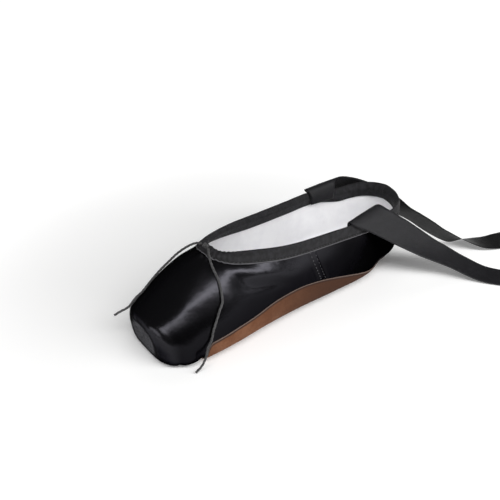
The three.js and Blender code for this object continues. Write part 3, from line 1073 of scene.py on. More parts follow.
@dataclass
class SatinUpper:
    """The satin outside and the cotton inside of the upper."""

    last: Last
    wall: float = 2.2
    satin: float = 0.9
    lining: float = 0.7
    across: int = 72
    hub_rows: int = 3
    hub_step: float = 5.0
    edge_rows: int = 8
    toe_step: float = 1.25
    side_step: float = 1.23
    heel_rows: int = 36
    seam_top: float = 0.522
    seam_foot: float = 0.567
    seam_width: float = 6.0
    seam_rise: float = 0.8
    seam_shoulder: float = 1.2
    seam_line: float = 2.0
    seam_start: float = 100.0
    stitch_groove: float = 0.35
    seam_groove: float = 0.45
    back_groove: float = 0.35
    back_ridge: float = 0.2
    fold_radius: float = 38.0
    sole_tip: float = 25.0
    sole_side: float = 25.0
    pleats: int = 11
    pleat_depth: float = 0.9
    pleat_height: float = 11.0
    pleat_start: float = 7.0
    gather: float = 0.35
    gather_reach: float = 15.0
    gathers: int = 17
    unevenness: float = 0.16
    folds: tuple[Fold, ...] = (
        Fold((-8, 50), (68, 58), 6.5, 0.45, (Side.LEFT, Side.RIGHT)),
        Fold((60, 73), (100, 55), 2.2, -0.5),
        Fold((57, 65), (84, 48), 5.2, 1.5),
        Fold((84, 47), (98, 42), 3.6, 0.5),
        Fold((96, 42), (118, 28), 4.4, 0.8),
        Fold((68, 44), (100, 34), 3.8, -1.1),
        Fold((62, 57), (72, 44), 1.8, -0.35),
        Fold((84, 34), (120, 20), 5.0, 0.4),
        Fold((112, 42), (128, 12), 5.0, 0.35),
        Fold((140, 38), (150, 8), 6.0, -0.4),
        Fold((152, 50), (190, 30), 5.5, 0.35, (Side.LEFT, Side.RIGHT)),
        Fold((196, 52), (222, 30), 5.0, -0.4, (Side.LEFT, Side.RIGHT)),
        Fold((62, 74), (88, 56), 3.0, 0.4, (Side.RIGHT,)),
        Fold((72, 50), (108, 36), 4.0, -0.6, (Side.RIGHT,)),
        Fold((28, 24), (60, 12), 7.0, 0.25, (Side.LEFT, Side.RIGHT)),
        Fold((6, 48), (6, -25), 2.4, 0.45, (Side.LEFT, Side.RIGHT)),
    )

    def stations(self) -> list[float]:
        """Stations of the grid's rows, from the platform to the back of the heel.

        Returns:
            The stations in order.
        """
        last = self.last
        turns = [QUARTER * i / self.edge_rows for i in range(self.edge_rows + 1)]
        edge = [last.platform_edge * (1 - math.cos(turn)) for turn in turns]
        count = int((last.throat_depth - 0.3 - last.platform_edge) / self.toe_step)
        toe = [last.platform_edge + self.toe_step * (i + 1) for i in range(count)]
        throat = [last.throat_depth + d for d in (0.0, 0.12, 0.5)]
        start = last.throat_depth + 1.5
        count = int((last.heel_start - 0.4 - start) / self.side_step) + 1
        sides = [start + self.side_step * i for i in range(count)]
        heel = [last.heel_start + last.heel_radius * (i + 1) / self.heel_rows for i in range(self.heel_rows)]
        return [*edge, *toe, *throat, *sides, last.heel_start, *heel]

    def seam_station(self, share: float) -> float:
        """The side seam's station, at a share of the way from the sole to the collar."""
        return (self.seam_foot + (self.seam_top - self.seam_foot) * share) * self.last.length

    def relief(self, station: float, angle: float, side: int) -> float:
        """The satin's own relief: the side seam with its grooves, the back seam and the folds.

        Args:
            station: distance from the platform.
            angle: place over the section, from the bottom to the top.
            side: the sign of the X of its side.

        Returns:
            How far the satin lies off the form, in millimetres.
        """
        last = self.last
        low = last.sole_angle(station, self.sole_tip, self.sole_side)
        high = last.collar_angle(station)
        share = min(max((angle - low) / max(high - low, 1e-6), 0), 1)
        off = abs(station - self.seam_station(share))
        lift = self.seam_rise * (1 - smooth_step((off - self.seam_width * 0.4) / self.seam_shoulder))
        lift -= self.stitch_groove * math.exp(-((off - self.seam_line) / 0.5) ** 2) * (off < self.seam_width)
        lift -= self.seam_groove * math.exp(-((off - self.seam_width * 0.72) / 0.8) ** 2)
        lift *= smooth_step((station - self.seam_start) / 10) * smooth_step((angle - low) / 0.06)
        turn = last.turn(station)
        if turn > 0:
            back = (QUARTER - turn) * last.heel_radius
            lift -= self.back_groove * math.exp(-((back / 0.8) ** 2))
            lift += self.back_ridge * math.exp(-(((back - 2.2) / 1.4) ** 2))
        degrees = math.degrees(angle)
        for fold in self.folds:
            if Side(side) in fold.sides:
                lift += fold.lift(station, degrees, self.fold_radius)
        return lift

    def toe_pleats(self, point: Vector) -> float:
        """The pleats that gather the satin under the box, fanning out of the sole's tip.

        Args:
            point: a point of the form, in millimetres.

        Returns:
            The pleats' lift there, 0 or less.
        """
        along = point.y + self.last.ball_station
        hub = self.sole_tip + self.last.sole_corner * 2.2
        fan = math.atan2(abs(point.x), hub - along)
        low = 1 - smooth_step((point.z - self.pleat_height) / 8.0)
        ring = smooth_step((along - self.pleat_start) / 5.0)
        ring *= 1 - smooth_step((along - self.sole_tip - 4.0) / 8.0)
        wave = abs(math.cos(fan * self.pleats * 0.8 + 0.7 * noise.noise(point / 9.0)))
        return -self.pleat_depth * low * ring * wave**7

    def throat_gathers(self, point: Vector, station: float) -> float:
        """Small gathers where the drawstring pulls the throat together.

        Args:
            point: a point of the form, in millimetres.
            station: its distance from the platform.

        Returns:
            The gathers' lift there.
        """
        reach = station - self.last.throat_depth
        away = math.hypot(point.x, reach)
        fade = math.exp(-((away / self.gather_reach) ** 2))
        fan = math.atan2(point.x, -reach + 14)
        return self.gather * fade * math.cos(fan * self.gathers)

    def skin(self, name: str, grow: float, relief: bool) -> bpy.types.Object:
        """A skin over the whole form, with rows that close the platform over its middle.

        Args:
            name: the piece's name.
            grow: how far off the form it lies.
            relief: whether it carries the satin's relief.

        Returns:
            The piece, still without thickness.
        """
        last = self.last
        stations = self.stations()
        hub = self.hub_rows
        rows = len(stations) + hub - 1

        def place(i: int, j: int) -> tuple[Vector, tuple[float, float]]:
            """Point and cloth place of one corner of the grid.

            Args:
                i: the corner's column.
                j: the corner's row.

            Returns:
                The point in millimetres and its place on the cloth.
            """
            side = 1 if i <= self.across else -1
            share = 1 - abs(i - self.across) / self.across
            station = stations[max(j - hub, 0)]
            high = last.collar_angle(station)
            angle = high + (-QUARTER - high) * share
            lift = grow
            point = last.point(station, angle, grow)
            if relief:
                shown = sided(point, side)
                lift += self.relief(station, angle, side)
                lift += self.toe_pleats(shown) + self.throat_gathers(shown, station)
                lift += self.unevenness * noise.noise(shown / 17.0)
                point = last.point(station, angle, lift)
            if j < hub:
                low, top = last.point(0, -QUARTER, grow), last.point(0, QUARTER, grow)
                middle = (low + top) / 2
                point = middle.lerp(point, j / hub)
            around = side * (QUARTER - angle) * self.fold_radius
            return sided(point, side), (around, station + min(j - hub, 0) * self.hub_step)

        return Cloth(name, 2 * self.across, rows, place).mesh(self.inside)

    def inside(self, point: Vector) -> Vector:
        """A point within the form, level with a point on it.

        Args:
            point: a point of the form, in millimetres.

        Returns:
            The inside point.
        """
        toe = 8 - self.last.ball_station
        heel = self.last.heel_start - self.last.ball_station
        return Vector((0, min(max(point.y, toe), heel), 22))

    def build(self) -> None:
        """Makes and dresses the satin and the lining."""
        outside = self.skin("satin_upper", 0.0, True)
        thicken(outside, self.satin)
        dress(outside, SatinFinish().material(), Slot.SATIN, "upper")
        inside = self.skin("cotton_lining", -self.wall, False)
        thicken(inside, self.lining, 1.0)
        dress(inside, CottonFinish().material(), Slot.LINING)


@dataclass
class CuppedSole:
    """A sole that cups the form's underside, with a rounded edge."""

    last: Last
    name: str
    tip: float
    side: float
    grow: float
    thickness: float
    edge: float
    floor: float | None = None
    across: int = 40
    tip_rows: int = 22
    tip_power: float = 2.2
    row_step: float = 1.6
    heel_rows: int = 32
    edge_power: float = 1.7

    def stations(self) -> list[float]:
        """Stations of the grid's rows, close together at the tip.

        Returns:
            The stations in order.
        """
        last = self.last
        corner = last.sole_corner
        shares = [(i / self.tip_rows) ** self.tip_power for i in range(self.tip_rows + 1)]
        tip = [self.tip + corner * share for share in shares]
        count = round((last.heel_start - self.tip - corner) / self.row_step)
        step = (last.heel_start - self.tip - corner) / count
        rest = [self.tip + corner + step * (i + 1) for i in range(count)]
        heel = [last.heel_start + last.heel_radius * (i + 1) / self.heel_rows for i in range(self.heel_rows)]
        return [*tip, *rest, *heel]

    def mesh(self) -> bpy.types.Object:
        """Lays the sole's grid. The cloth's first coordinate is the distance from its edge.

        Returns:
            The piece, still without thickness.
        """
        last = self.last
        stations = self.stations()

        def place(i: int, j: int) -> tuple[Vector, tuple[float, float]]:
            """Point and cloth place of one corner of the grid.

            Args:
                i: the corner's column.
                j: the corner's row.

            Returns:
                The point in millimetres and its place on the cloth.
            """
            side = 1 if i <= self.across else -1
            share = 1 - abs(i - self.across) / self.across
            station = stations[j]
            high = last.sole_angle(station, self.tip, self.side)
            angle = high + (-QUARTER - high) * share**self.edge_power
            rim = last.point(station, high, self.grow)
            point = last.point(station, angle, self.grow)
            away = (point - rim).length
            away = min(away, max(station - self.tip, 0) * 1.5)
            round_share = min(away / self.edge, 1)
            drop = self.edge * (1 - math.sqrt(1 - (1 - round_share) ** 2))
            point = last.point(station, angle, self.grow - drop)
            if self.floor is not None:
                point.z = max(point.z, self.floor)
            return sided(point, side), (away, station)

        return Cloth(self.name, 2 * self.across, len(stations) - 1, place).mesh(
            lambda point: Vector((0, point.y, 40))
        )


@dataclass
class Soles:
    """The leather sole and the white sock inside the shoe."""

    last: Last
    wall: float = 2.2
    proud: float = 0.8
    insole_gap: float = 0.85
    insole_thickness: float = 2.0

    def build(self) -> None:
        """Makes and dresses both."""
        leather = CuppedSole(
            self.last, "leather_sole", tip=25.0, side=25.0, grow=self.proud,
            thickness=1.4, edge=0.8, floor=0.0,
        )
        piece = leather.mesh()
        thicken(piece, leather.thickness)
        dress(piece, LeatherFinish().material(), Slot.LEATHER, "outsole")
        grow = -self.wall - self.insole_gap - self.insole_thickness
        sock = CuppedSole(
            self.last, "sock_lining", tip=9.0, side=4.6, grow=grow, thickness=1.2, edge=0.0001
        )
        piece = sock.mesh()
        thicken(piece, sock.thickness, 1.0)
        finish = CottonFinish("white_sock", (0.9, 0.9, 0.91), (0.82, 0.82, 0.85), 0.0012)
        dress(piece, finish.material(), Slot.LINING, "insole")


@dataclass
class CollarBinding:
    """The tape folded over the collar, with its drawstring channel, gathers and stitches."""

    last: Last
    wall: float = 2.2
    width: float = 9.0
    inside: float = 7.0
    off: float = 1.2
    thickness: float = 0.6
    channel: float = 0.55
    channel_place: tuple[float, float] = (3.4, 2.1)
    edge_drop: float = 0.45
    seam_dip: float = 0.28
    seam_place: tuple[float, float] = (6.9, 0.6)
    crown: float = 1.3
    gather: float = 0.8
    gather_pitch: float = 3.1
    gather_reach: float = 15.0
    bulge: float = 2.3
    bulge_reach: float = 9.0
    narrowing: float = 0.36
    narrow_reach: float = 13.0
    near_run: float = 18.0
    near_steps: int = 34
    side_steps: int = 96
    heel_steps: int = 40
    fold_steps: int = 8
    stitch_depth: float = 7.7
    stitch_pitch: float = 2.6
    stitch_proud: float = 0.12

    def stations(self) -> list[float]:
        """Stations along one side of the collar, close together at the throat.

        Returns:
            The stations, from the throat to the back of the heel.
        """
        last = self.last
        shares = [(i / self.near_steps) ** 2 for i in range(self.near_steps)]
        near = [last.throat_depth + self.near_run * share for share in shares]
        start = last.throat_depth + self.near_run
        step = (last.heel_start - start) / self.side_steps
        side = [start + step * i for i in range(self.side_steps)]
        heel = [last.heel_start + last.heel_radius * i / self.heel_steps for i in range(self.heel_steps + 1)]
        return [*near, *side, *heel]

    def profile(self) -> list[tuple[float, float]]:
        """Depths below the collar and growths, from the outer edge over the fold.

        Returns:
            The rows of depth and growth, in millimetres.
        """
        edge = [self.width - 0.3, self.width - 0.9]
        outer = [*edge, 8.0, 7.4, 6.8, 6.0, 5.2, 4.4, 3.6, 2.8, 2.0, 1.2, 0.5]
        rows = [(self.width, self.off - self.edge_drop)]
        (centre, reach), (line, spread) = self.channel_place, self.seam_place
        for depth in outer:
            swell = self.channel * math.exp(-(((depth - centre) / reach) ** 2))
            seam = self.seam_dip * math.exp(-(((depth - line) / spread) ** 2))
            rows.append((depth, self.off + swell - seam))
        middle, radius = -self.wall / 2, self.wall / 2 + self.off
        for i in range(1, self.fold_steps):
            turn = math.pi * i / self.fold_steps
            rows.append((-self.crown * math.sin(turn), middle + radius * math.cos(turn)))
        rows += [(depth, -self.wall - self.off) for depth in (0.4, 1.5, 3.0, 4.5, 6.0, self.inside)]
        return rows

    def narrow(self, run: float) -> float:
        """The share of the outer leg's width, which is drawn up near the throat."""
        return 1 - self.narrowing * math.exp(-((run / self.narrow_reach) ** 2))

    def gathers(self, run: float, depth: float) -> float:
        """The ripple of the tape near the throat, at a run along the collar.

        Args:
            run: distance along the collar from the throat.
            depth: depth below the collar.

        Returns:
            The ripple's lift, in millimetres.
        """
        fade = math.exp(-run / self.gather_reach)
        ripple = math.sin(2 * math.pi * run / self.gather_pitch + 0.25 * depth)
        faint = 0.1 * noise.noise(Vector((run / 7.0, depth / 5.0, 0.0)))
        return self.gather * fade * ripple + faint

    def build(self) -> None:
        """Makes and dresses the tape and its stitches."""
        last = self.last
        stations = self.stations()
        frames = [last.collar_frame(station) for station in stations]
        run = [0.0]
        for (a, _), (b, _) in zip(frames, frames[1:]):
            run.append(run[-1] + (b - a).length)
        profile = self.profile()
        spread = [0.0]
        for (d0, g0), (d1, g1) in zip(profile, profile[1:]):
            spread.append(spread[-1] + math.hypot(d1 - d0, g1 - g0))
        half = len(stations) - 1

        def place(i: int, j: int) -> tuple[Vector, tuple[float, float]]:
            """Point and cloth place of one corner of the grid.

            Args:
                i: the corner's column.
                j: the corner's row.

            Returns:
                The point in millimetres and its place on the cloth.
            """
            side = 1 if j <= half else -1
            k = j if j <= half else 2 * half - j
            depth, grow = profile[i]
            outer = grow > 0
            ripple = self.gathers(run[k], depth) * (1.0 if outer else 0.4)
            if k in (0, half):
                ripple *= 0.3
            if depth < 0:
                depth *= 1 + self.bulge * math.exp(-((run[k] / self.bulge_reach) ** 2))
            if outer and depth > 0:
                depth *= self.narrow(run[k])
            point = last.below_collar(frames[k], depth, grow + (ripple if outer else -ripple))
            if k in (0, half):
                point.x = 0.0
            return sided(point, side), (spread[i], side * run[k])

        tape = Cloth("binding_tape", len(profile) - 1, 2 * half, place).mesh(
            lambda point: point - self.outward(point)
        )
        thicken(tape, self.thickness)
        # The tape's outer edge carries a painted highlight, with a dark line beside it.
        dress(tape, TapeFinish(tape_highlight_width=0.0011).material(), Slot.GROSGRAIN, "binding")
        self.stitches(frames, run)

    def outward(self, point: Vector) -> Vector:
        """The way that the binding's outer face looks near a point.

        Args:
            point: a point of the tape, in millimetres.

        Returns:
            The unit way outwards.
        """
        station, angle = self.last.beneath(point)
        skin = self.last.point(station, angle, -self.wall / 2)
        shown = sided(skin, 1 if point.x >= 0 else -1)
        away = point - shown
        return away.normalized() if away.length > 1e-6 else Vector((0, 0, 1))

    def stitches(self, frames: list[tuple[Vector, Vector]], run: list[float]) -> None:
        """The stitches that hold the tape, in a row near its outer edge.

        Args:
            frames: the collar's points and the ways down from them.
            run: the distance of each along the collar.
        """
        last = self.last
        row = StitchRow("binding_stitches", length=1.7, thickness=0.42)
        depths = [self.stitch_depth * self.narrow(distance) for distance in run]
        proud = self.off + self.stitch_proud
        line = [last.below_collar(f, depth, proud) for f, depth in zip(frames, depths)]
        inner = [last.below_collar(f, depth, 0.0) for f, depth in zip(frames, depths)]
        goal = 1.0
        for k in range(len(line) - 1):
            while run[k + 1] > goal >= run[k]:
                t = (goal - run[k]) / (run[k + 1] - run[k])
                spot, under = line[k].lerp(line[k + 1], t), inner[k].lerp(inner[k + 1], t)
                for side in (1, -1):
                    row.add(sided(spot, side), sided(line[k + 1] - line[k], side), sided(spot - under, side))
                goal += self.stitch_pitch
        thread = ThreadFinish("grey_thread", (0.02, 0.02, 0.021), (0.075, 0.075, 0.078))
        dress(row.mesh(), thread.material(), Slot.GROSGRAIN)


@dataclass
class StitchRow:
    """A row of small stitches in one mesh."""

    name: str
    length: float = 1.8
    thickness: float = 0.45
    spots: list[tuple[Vector, Vector, Vector]] = field(default_factory=list)

    def add(self, spot: Vector, along: Vector, normal: Vector) -> None:
        """Adds a stitch at a spot, lying along a direction, on a face with a normal."""
        self.spots.append((spot, along.normalized(), normal.normalized()))

    def mesh(self) -> bpy.types.Object:
        """Makes every stitch as a small drawn-out ball.

        Returns:
            The row as one piece.
        """
        bm = bmesh.new()
        size = Matrix.Diagonal((self.length * MM, self.thickness * MM, self.thickness * 0.7 * MM, 1))
        for spot, along, normal in self.spots:
            across = normal.cross(along).normalized()
            up = along.cross(across)
            turn = Matrix((along, across, up)).transposed().to_4x4()
            matrix = Matrix.Translation(spot * MM) @ turn @ size
            bmesh.ops.create_uvsphere(bm, u_segments=8, v_segments=5, radius=0.5, matrix=matrix)
        return finished(bm, self.name)


@dataclass
class SeamStitches:
    """The two rows of stitches down each side seam, and the row at the back seam."""

    upper: SatinUpper
    pitch: float = 2.4
    line: float = 2.0
    back_line: float = 2.1
    girth: float = 36.0
    top: float = 0.8
    back_top: float = 0.82
    proud: float = 0.05

    def build(self) -> None:
        """Makes and dresses the rows of each seam."""
        thread = ThreadFinish("black_thread", (0.02, 0.02, 0.022), (0.07, 0.07, 0.075)).material()
        for side, name in ((Side.LEFT, "side_stitches_left"), (Side.RIGHT, "side_stitches_right")):
            row = StitchRow(name, 1.7, 0.7)
            for offset in (-self.line, self.line):
                self.seam(row, side.value, offset)
            dress(row.mesh(), thread, Slot.SATIN)
        row = StitchRow("back_stitches", 1.7, 0.45)
        for side in Side:
            self.back(row, side.value)
        dress(row.mesh(), thread, Slot.SATIN)

    def surface(self, station: float, angle: float, side: int, off: float) -> Vector:
        """A point so far off the satin's relief."""
        lift = self.upper.relief(station, angle, side)
        return self.upper.last.point(station, angle, lift + off)

    def seam(self, row: StitchRow, side: int, offset: float) -> None:
        """Adds one row down a side seam, beside its middle.

        Args:
            row: the row that takes the stitches.
            side: the sign of the X of its side.
            offset: distance from the seam's middle.
        """
        last, upper = self.upper.last, self.upper
        middle = upper.seam_station(0.5)
        low = last.sole_angle(middle, upper.sole_tip, upper.sole_side)
        high = last.collar_angle(middle)
        count = round((high - low) * self.girth / self.pitch)
        for k in range(count):
            share = (k + 0.6) / count
            if share > self.top:
                continue
            angle = low + (high - low) * share
            station = upper.seam_station(share) + offset
            further = upper.seam_station(share + 0.02) + offset
            ahead = self.surface(further, angle + (high - low) * 0.02, side, 0)
            spot = self.surface(station, angle, side, self.proud)
            under = last.point(station, angle, -4)
            row.add(sided(spot, side), sided(ahead - spot, side), sided(spot - under, side))

    def back(self, row: StitchRow, side: int) -> None:
        """Adds one row beside the back seam.

        Args:
            row: the row that takes the stitches.
            side: the sign of the X of its side.
        """
        last = self.upper.last
        station = last.length - self.back_line / QUARTER
        low, high = math.radians(-12), last.collar_angle(station)
        count = round((high - low) * self.girth / self.pitch)
        for k in range(count):
            angle = low + (high - low) * (k + 0.5) / count
            if (k + 0.5) / count > self.back_top:
                continue
            spot = self.surface(station, angle, side, self.proud)
            ahead = self.surface(station, angle + 0.02, side, self.proud)
            under = last.point(station, angle, -4)
            row.add(sided(spot, side), sided(ahead - spot, side), sided(spot - under, side))


@dataclass
class AnkleRibbon:
    """A ribbon folded over the collar, which runs back and lies down on the floor."""

    last: Last
    name: str
    node: str
    rows: tuple[tuple[float, ...], ...]
    width: float = 23.0
    thickness: float = 0.45
    solid: float = 0.8
    # Where along the ribbon, in metres of run, the rest of it turns to painted shade.
    turned: tuple[float, float] | None = None
    steps: int = 170
    across: int = 14
    cup: float = 0.5
    cup_pitch: float = 23.0
    flutter: float = 0.35
    flutter_size: float = 15.0
    stiff_reach: float = 30.0

    def build(self) -> None:
        """A row holds its middle and its way across."""
        last = self.last
        heel_y = last.heel_start - last.ball_station
        middles, spans = [], []
        for out, back, up, across_out, across_back, across_up in self.rows:
            middles.append(Vector((
                out * last.heel_radius,
                heel_y + back * last.heel_radius,
                up * last.heel_height + self.solid / 2,
            )))
            spans.append(Vector((across_out, across_back, across_up)))
        path, cross = SmoothPath(tuple(middles)), SmoothPath(tuple(spans))
        shares = path.even(self.steps)
        spots = [path.at(t) for t in shares]
        run = [0.0]
        for a, b in zip(spots, spots[1:]):
            run.append(run[-1] + (b - a).length)

        def place(i: int, j: int) -> tuple[Vector, tuple[float, float]]:
            """Point and cloth place of one corner of the grid.

            Args:
                i: the corner's column.
                j: the corner's row.

            Returns:
                The point in millimetres and its place on the cloth.
            """
            share = i / self.across * 2 - 1
            half = cross.at(shares[j]) * (self.width / 2)
            ahead, behind = spots[min(j + 1, self.steps)], spots[max(j - 1, 0)]
            face = (ahead - behind).cross(half).normalized()
            cup = self.cup * (1 - share * share) * math.sin(run[j] / self.cup_pitch)
            spot = Vector((run[j] / self.flutter_size, share * 0.6, len(self.name)))
            wave = self.flutter * noise.noise(spot)
            lift = (cup + wave) * smooth_step(run[j] / self.stiff_reach)
            point = spots[j] + half * share + face * lift
            point.z = max(point.z, self.thickness / 2)
            return point, (share * self.width / 2, run[j])

        piece = Cloth(self.name, self.across, self.steps, place).mesh()
        thicken(piece, self.thickness, 0.0)
        finish = TapeFinish(
            self.name + "_weave", dark=(0.005, 0.0048, 0.006), pale=(0.0095, 0.0092, 0.0115), rib=0.0006,
            rib_depth=0.05, roughness=0.5, gloss=0.24, sheen=0.02, turned=self.turned,
        )
        dress(piece, finish.material(), Slot.RIBBON, self.node)
        flat = (self.width * MM, run[-1] * MM)
        LOG.info("%s is %.0f mm long", self.name, run[-1])


# A ribbon's rows from its sewn end: its middle, out and back from the heel's axis as shares
# of the heel radius and up as a share of the heel height, then the way across it in widths
LEFT_RIBBON_ROWS = (
    (0.88, -1.1, 0.84, -0.06, 0.96, 0.0),
    (0.88, -1.09, 0.9, -0.04, 1.0, 0.04),
    (0.89, -1.06, 1.05, -0.03, 1.11, 0.17),
    (1.0, -1.03, 1.115, 0.04, 1.28, 0.25),
    (1.17, -0.94, 1.075, 0.1, 1.41, 0.21),
    (1.31, -0.66, 0.975, 0.06, 1.37, 0.17),
    (1.49, -0.31, 0.84, -0.02, 1.35, 0.13),
    (1.71, 0.09, 0.67, -0.13, 1.28, 0.11),
    (1.97, 0.59, 0.47, -0.37, 1.07, 0.13),
    (2.27, 1.13, 0.28, -0.61, 0.76, 0.2),
    (2.66, 1.52, 0.13, -0.61, 0.78, 0.13),
    (3.05, 1.84, 0.03, -0.57, 0.83, 0.05),
    (3.47, 2.16, 0.0, -0.57, 0.83, 0.0),
    (3.95, 2.5, 0.0, -0.57, 0.83, 0.0),
)
RIGHT_RIBBON_ROWS = (
    (-0.89, -0.74, 0.84, -0.11, -1.0, 0.02),
    (-0.9, -0.73, 0.98, -0.12, -1.07, 0.0),
    (-0.98, -0.71, 1.08, -0.17, -1.19, -0.06),
    (-1.11, -0.63, 1.08, -0.3, -1.32, -0.17),
    (-1.21, -0.34, 1.0, -0.45, -1.43, -0.39),
    (-1.19, 0.13, 0.89, -0.67, -1.28, -0.56),
    (-0.98, 0.61, 0.78, -0.94, -1.0, -0.66),
    (-0.57, 0.95, 0.71, -1.09, -0.53, -0.82),
    (-0.13, 1.17, 0.65, -1.03, -0.1, -0.81),
    (0.25, 1.41, 0.56, -0.9, 0.11, -0.64),
    (0.56, 1.65, 0.47, -0.69, 0.29, -0.69),
    (0.97, 1.94, 0.32, -0.53, 0.41, -0.83),
    (1.4, 2.25, 0.19, -0.35, 0.53, -0.81),
    (1.7, 2.7, 0.11, -0.59, 0.68, -0.47),
    (2.0, 3.19, 0.03, -0.83, 0.61, -0.15),
    (2.21, 3.76, 0.0, -0.95, 0.39, 0.0),
    (2.35, 4.33, 0.0, -0.97, 0.23, 0.0),
)

# Along from the platform to the throat, turn from the side to the ridge, and lift
# off the form in cord diameters
RIGHT_END_ROWS = (
    (0.96, 0.95, 2.4), (0.94, 0.9, 2.5), (0.9, 0.85, 2.3), (0.83, 0.8, 2.0), (0.75, 0.75, 1.8),
    (0.65, 0.69, 1.3), (0.51, 0.63, 1.1), (0.34, 0.61, 1.3), (0.22, 0.6, 1.7), (0.12, 0.55, 2.2),
    (0.0, 0.43, 5.2), (-0.1, 0.34, 4.9), (-0.17, 0.28, 4.7),
)
LEFT_END_ROWS = (
    (0.96, 0.95, 2.3), (0.92, 0.9, 2.2), (0.89, 0.85, 1.8), (0.87, 0.78, 1.4), (0.86, 0.66, 1.1),
    (0.84, 0.57, 1.0), (0.8, 0.46, 1.0), (0.74, 0.4, 1.0), (0.67, 0.32, 1.0), (0.6, 0.23, 1.0),
    (0.55, 0.13, 1.0), (0.49, 0.06, 1.2), (0.44, -0.03, 2.0), (0.37, -0.12, 2.9), (0.3, -0.18, 4.5),
)


@dataclass
class Tube:
    """A twisted cord as a mesh tube along points."""

    name: str
    points: list[Vector]
    diameter: float
    closed: bool = False
    sides: int = 14
    twist: float = 3.4
    strands: int = 3
    relief: float = 0.1

    def mesh(self) -> bpy.types.Object:
        """Sweeps the section along the points, without roll.

        Returns:
            The tube, with its ends closed.
        """
        points = self.points
        count = len(points) - 1
        tangents = []
        for k in range(count + 1):
            if self.closed:
                ahead, behind = points[(k + 1) % count], points[(k - 1) % count]
            else:
                ahead, behind = points[min(k + 1, count)], points[max(k - 1, 0)]
            tangents.append((ahead - behind).normalized())
        side = tangents[0].orthogonal().normalized()
        sides, run = [], [0.0]
        for k, tangent in enumerate(tangents):
            side = (side - tangent * side.dot(tangent)).normalized()
            sides.append(side)
            if k:
                run.append(run[-1] + (points[k] - points[k - 1]).length)
        if self.closed:
            sides[-1] = sides[0]

        def place(i: int, j: int) -> tuple[Vector, tuple[float, float]]:
            """Point and cloth place of one corner of the grid.

            Args:
                i: the corner's column.
                j: the corner's row.

            Returns:
                The point in millimetres and its place on the cloth.
            """
            turn = 2 * math.pi * i / self.sides
            strand = math.cos(self.strands * (turn - 2 * math.pi * run[j] / (self.twist * self.strands)))
            radius = self.diameter / 2 * (1 - self.relief + self.relief * strand)
            out = sides[j] * math.cos(turn) + tangents[j].cross(sides[j]) * math.sin(turn)
            return points[j] + out * radius, (turn * self.diameter / 2, run[j])

        piece = Cloth(self.name, self.sides, count, place).mesh()
        bm = bmesh.new()
        bm.from_mesh(piece.data)
        open_edges = [edge for edge in bm.edges if edge.is_boundary]
        if open_edges:
            bmesh.ops.holes_fill(bm, edges=open_edges)
        bmesh.ops.recalc_face_normals(bm, faces=bm.faces)
        bm.to_mesh(piece.data)
        bm.free()
        return piece


@dataclass
class Drawstring:
    """The drawstring's knot at the throat and its two ends."""

    last: Last
    diameter: float = 1.8
    knot_size: tuple[float, float, float] = (6.2, 4.4, 3.4)
    knot_cord: float = 0.8
    knot_steps: int = 150
    step: float = 0.4

    def end_point(self, row: tuple[float, float, float], side: int) -> Vector:
        """A point of an end, never in the floor.

        Args:
            row: shares along and around, and the lift in cord diameters.
            side: the sign of the X of its side.

        Returns:
            The point, in millimetres.
        """
        along, turn, lift = row
        station, angle = along * self.last.throat_depth, turn * QUARTER
        skin = self.last.point(max(station, 0), angle)
        out = skin.x + lift * self.diameter * math.cos(angle)
        z = skin.z + lift * self.diameter * math.sin(angle)
        return Vector((side * out, station - self.last.ball_station, max(z, self.diameter / 2)))

    def end(self, name: str, node: str, rows: tuple, side: int, material: bpy.types.Material) -> None:
        """Makes and dresses one end.

        Args:
            name: the piece's name.
            node: the CAD node that it stands for.
            rows: the rows that it runs through.
            side: the sign of the X of its side.
            material: its finish.
        """
        path = SmoothPath(tuple(self.end_point(row, side) for row in rows))
        rough = [path.at(i / 400) for i in range(401)]
        length = sum((b - a).length for a, b in zip(rough, rough[1:]))
        points = [path.at(t) for t in path.even(round(length / self.step))]
        piece = Tube(name, points, self.diameter).mesh()
        dress(piece, material, Slot.CORD, node)
        metres = [tuple(point * MM) for point in points]
        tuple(metres[0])
        self.diameter * MM
        LOG.info("%s is %.0f mm long", name, length)

    def knot(self, material: bpy.types.Material) -> None:
        """Makes the knot: a small flat overhand knot in the CAD knot's place.

        Args:
            material: its finish.
        """
        low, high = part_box("drawstring_knot")
        centre = (low + high) / 2 / MM
        cord = self.diameter * self.knot_cord
        size = Vector(self.knot_size) - Vector((1, 1, 1)) * cord
        points = []
        for k in range(self.knot_steps + 1):
            t = 2 * math.pi * k / self.knot_steps
            shape = Vector((
                (math.cos(t) + 2 * math.cos(2 * t)) / 6,
                (math.sin(t) - 2 * math.sin(2 * t)) / 6,
                -math.sin(3 * t) / 2,
            ))
            points.append(centre + Vector(shape[i] * size[i] for i in range(3)))
        piece = Tube("cord_knot", points, cord, True).mesh()
        dress(piece, material, Slot.CORD, "drawstring_knot")

    def build(self) -> None:
        """Makes the knot and both ends."""
        material = ThreadFinish("cotton_cord", (0.01, 0.01, 0.0105), (0.08, 0.078, 0.08)).material()
        self.knot(material)
        self.end("cord_end_left", "drawstring_left", LEFT_END_ROWS, 1, material)
        self.end("cord_end_right", "drawstring_right", RIGHT_END_ROWS, -1, material)


# The studio


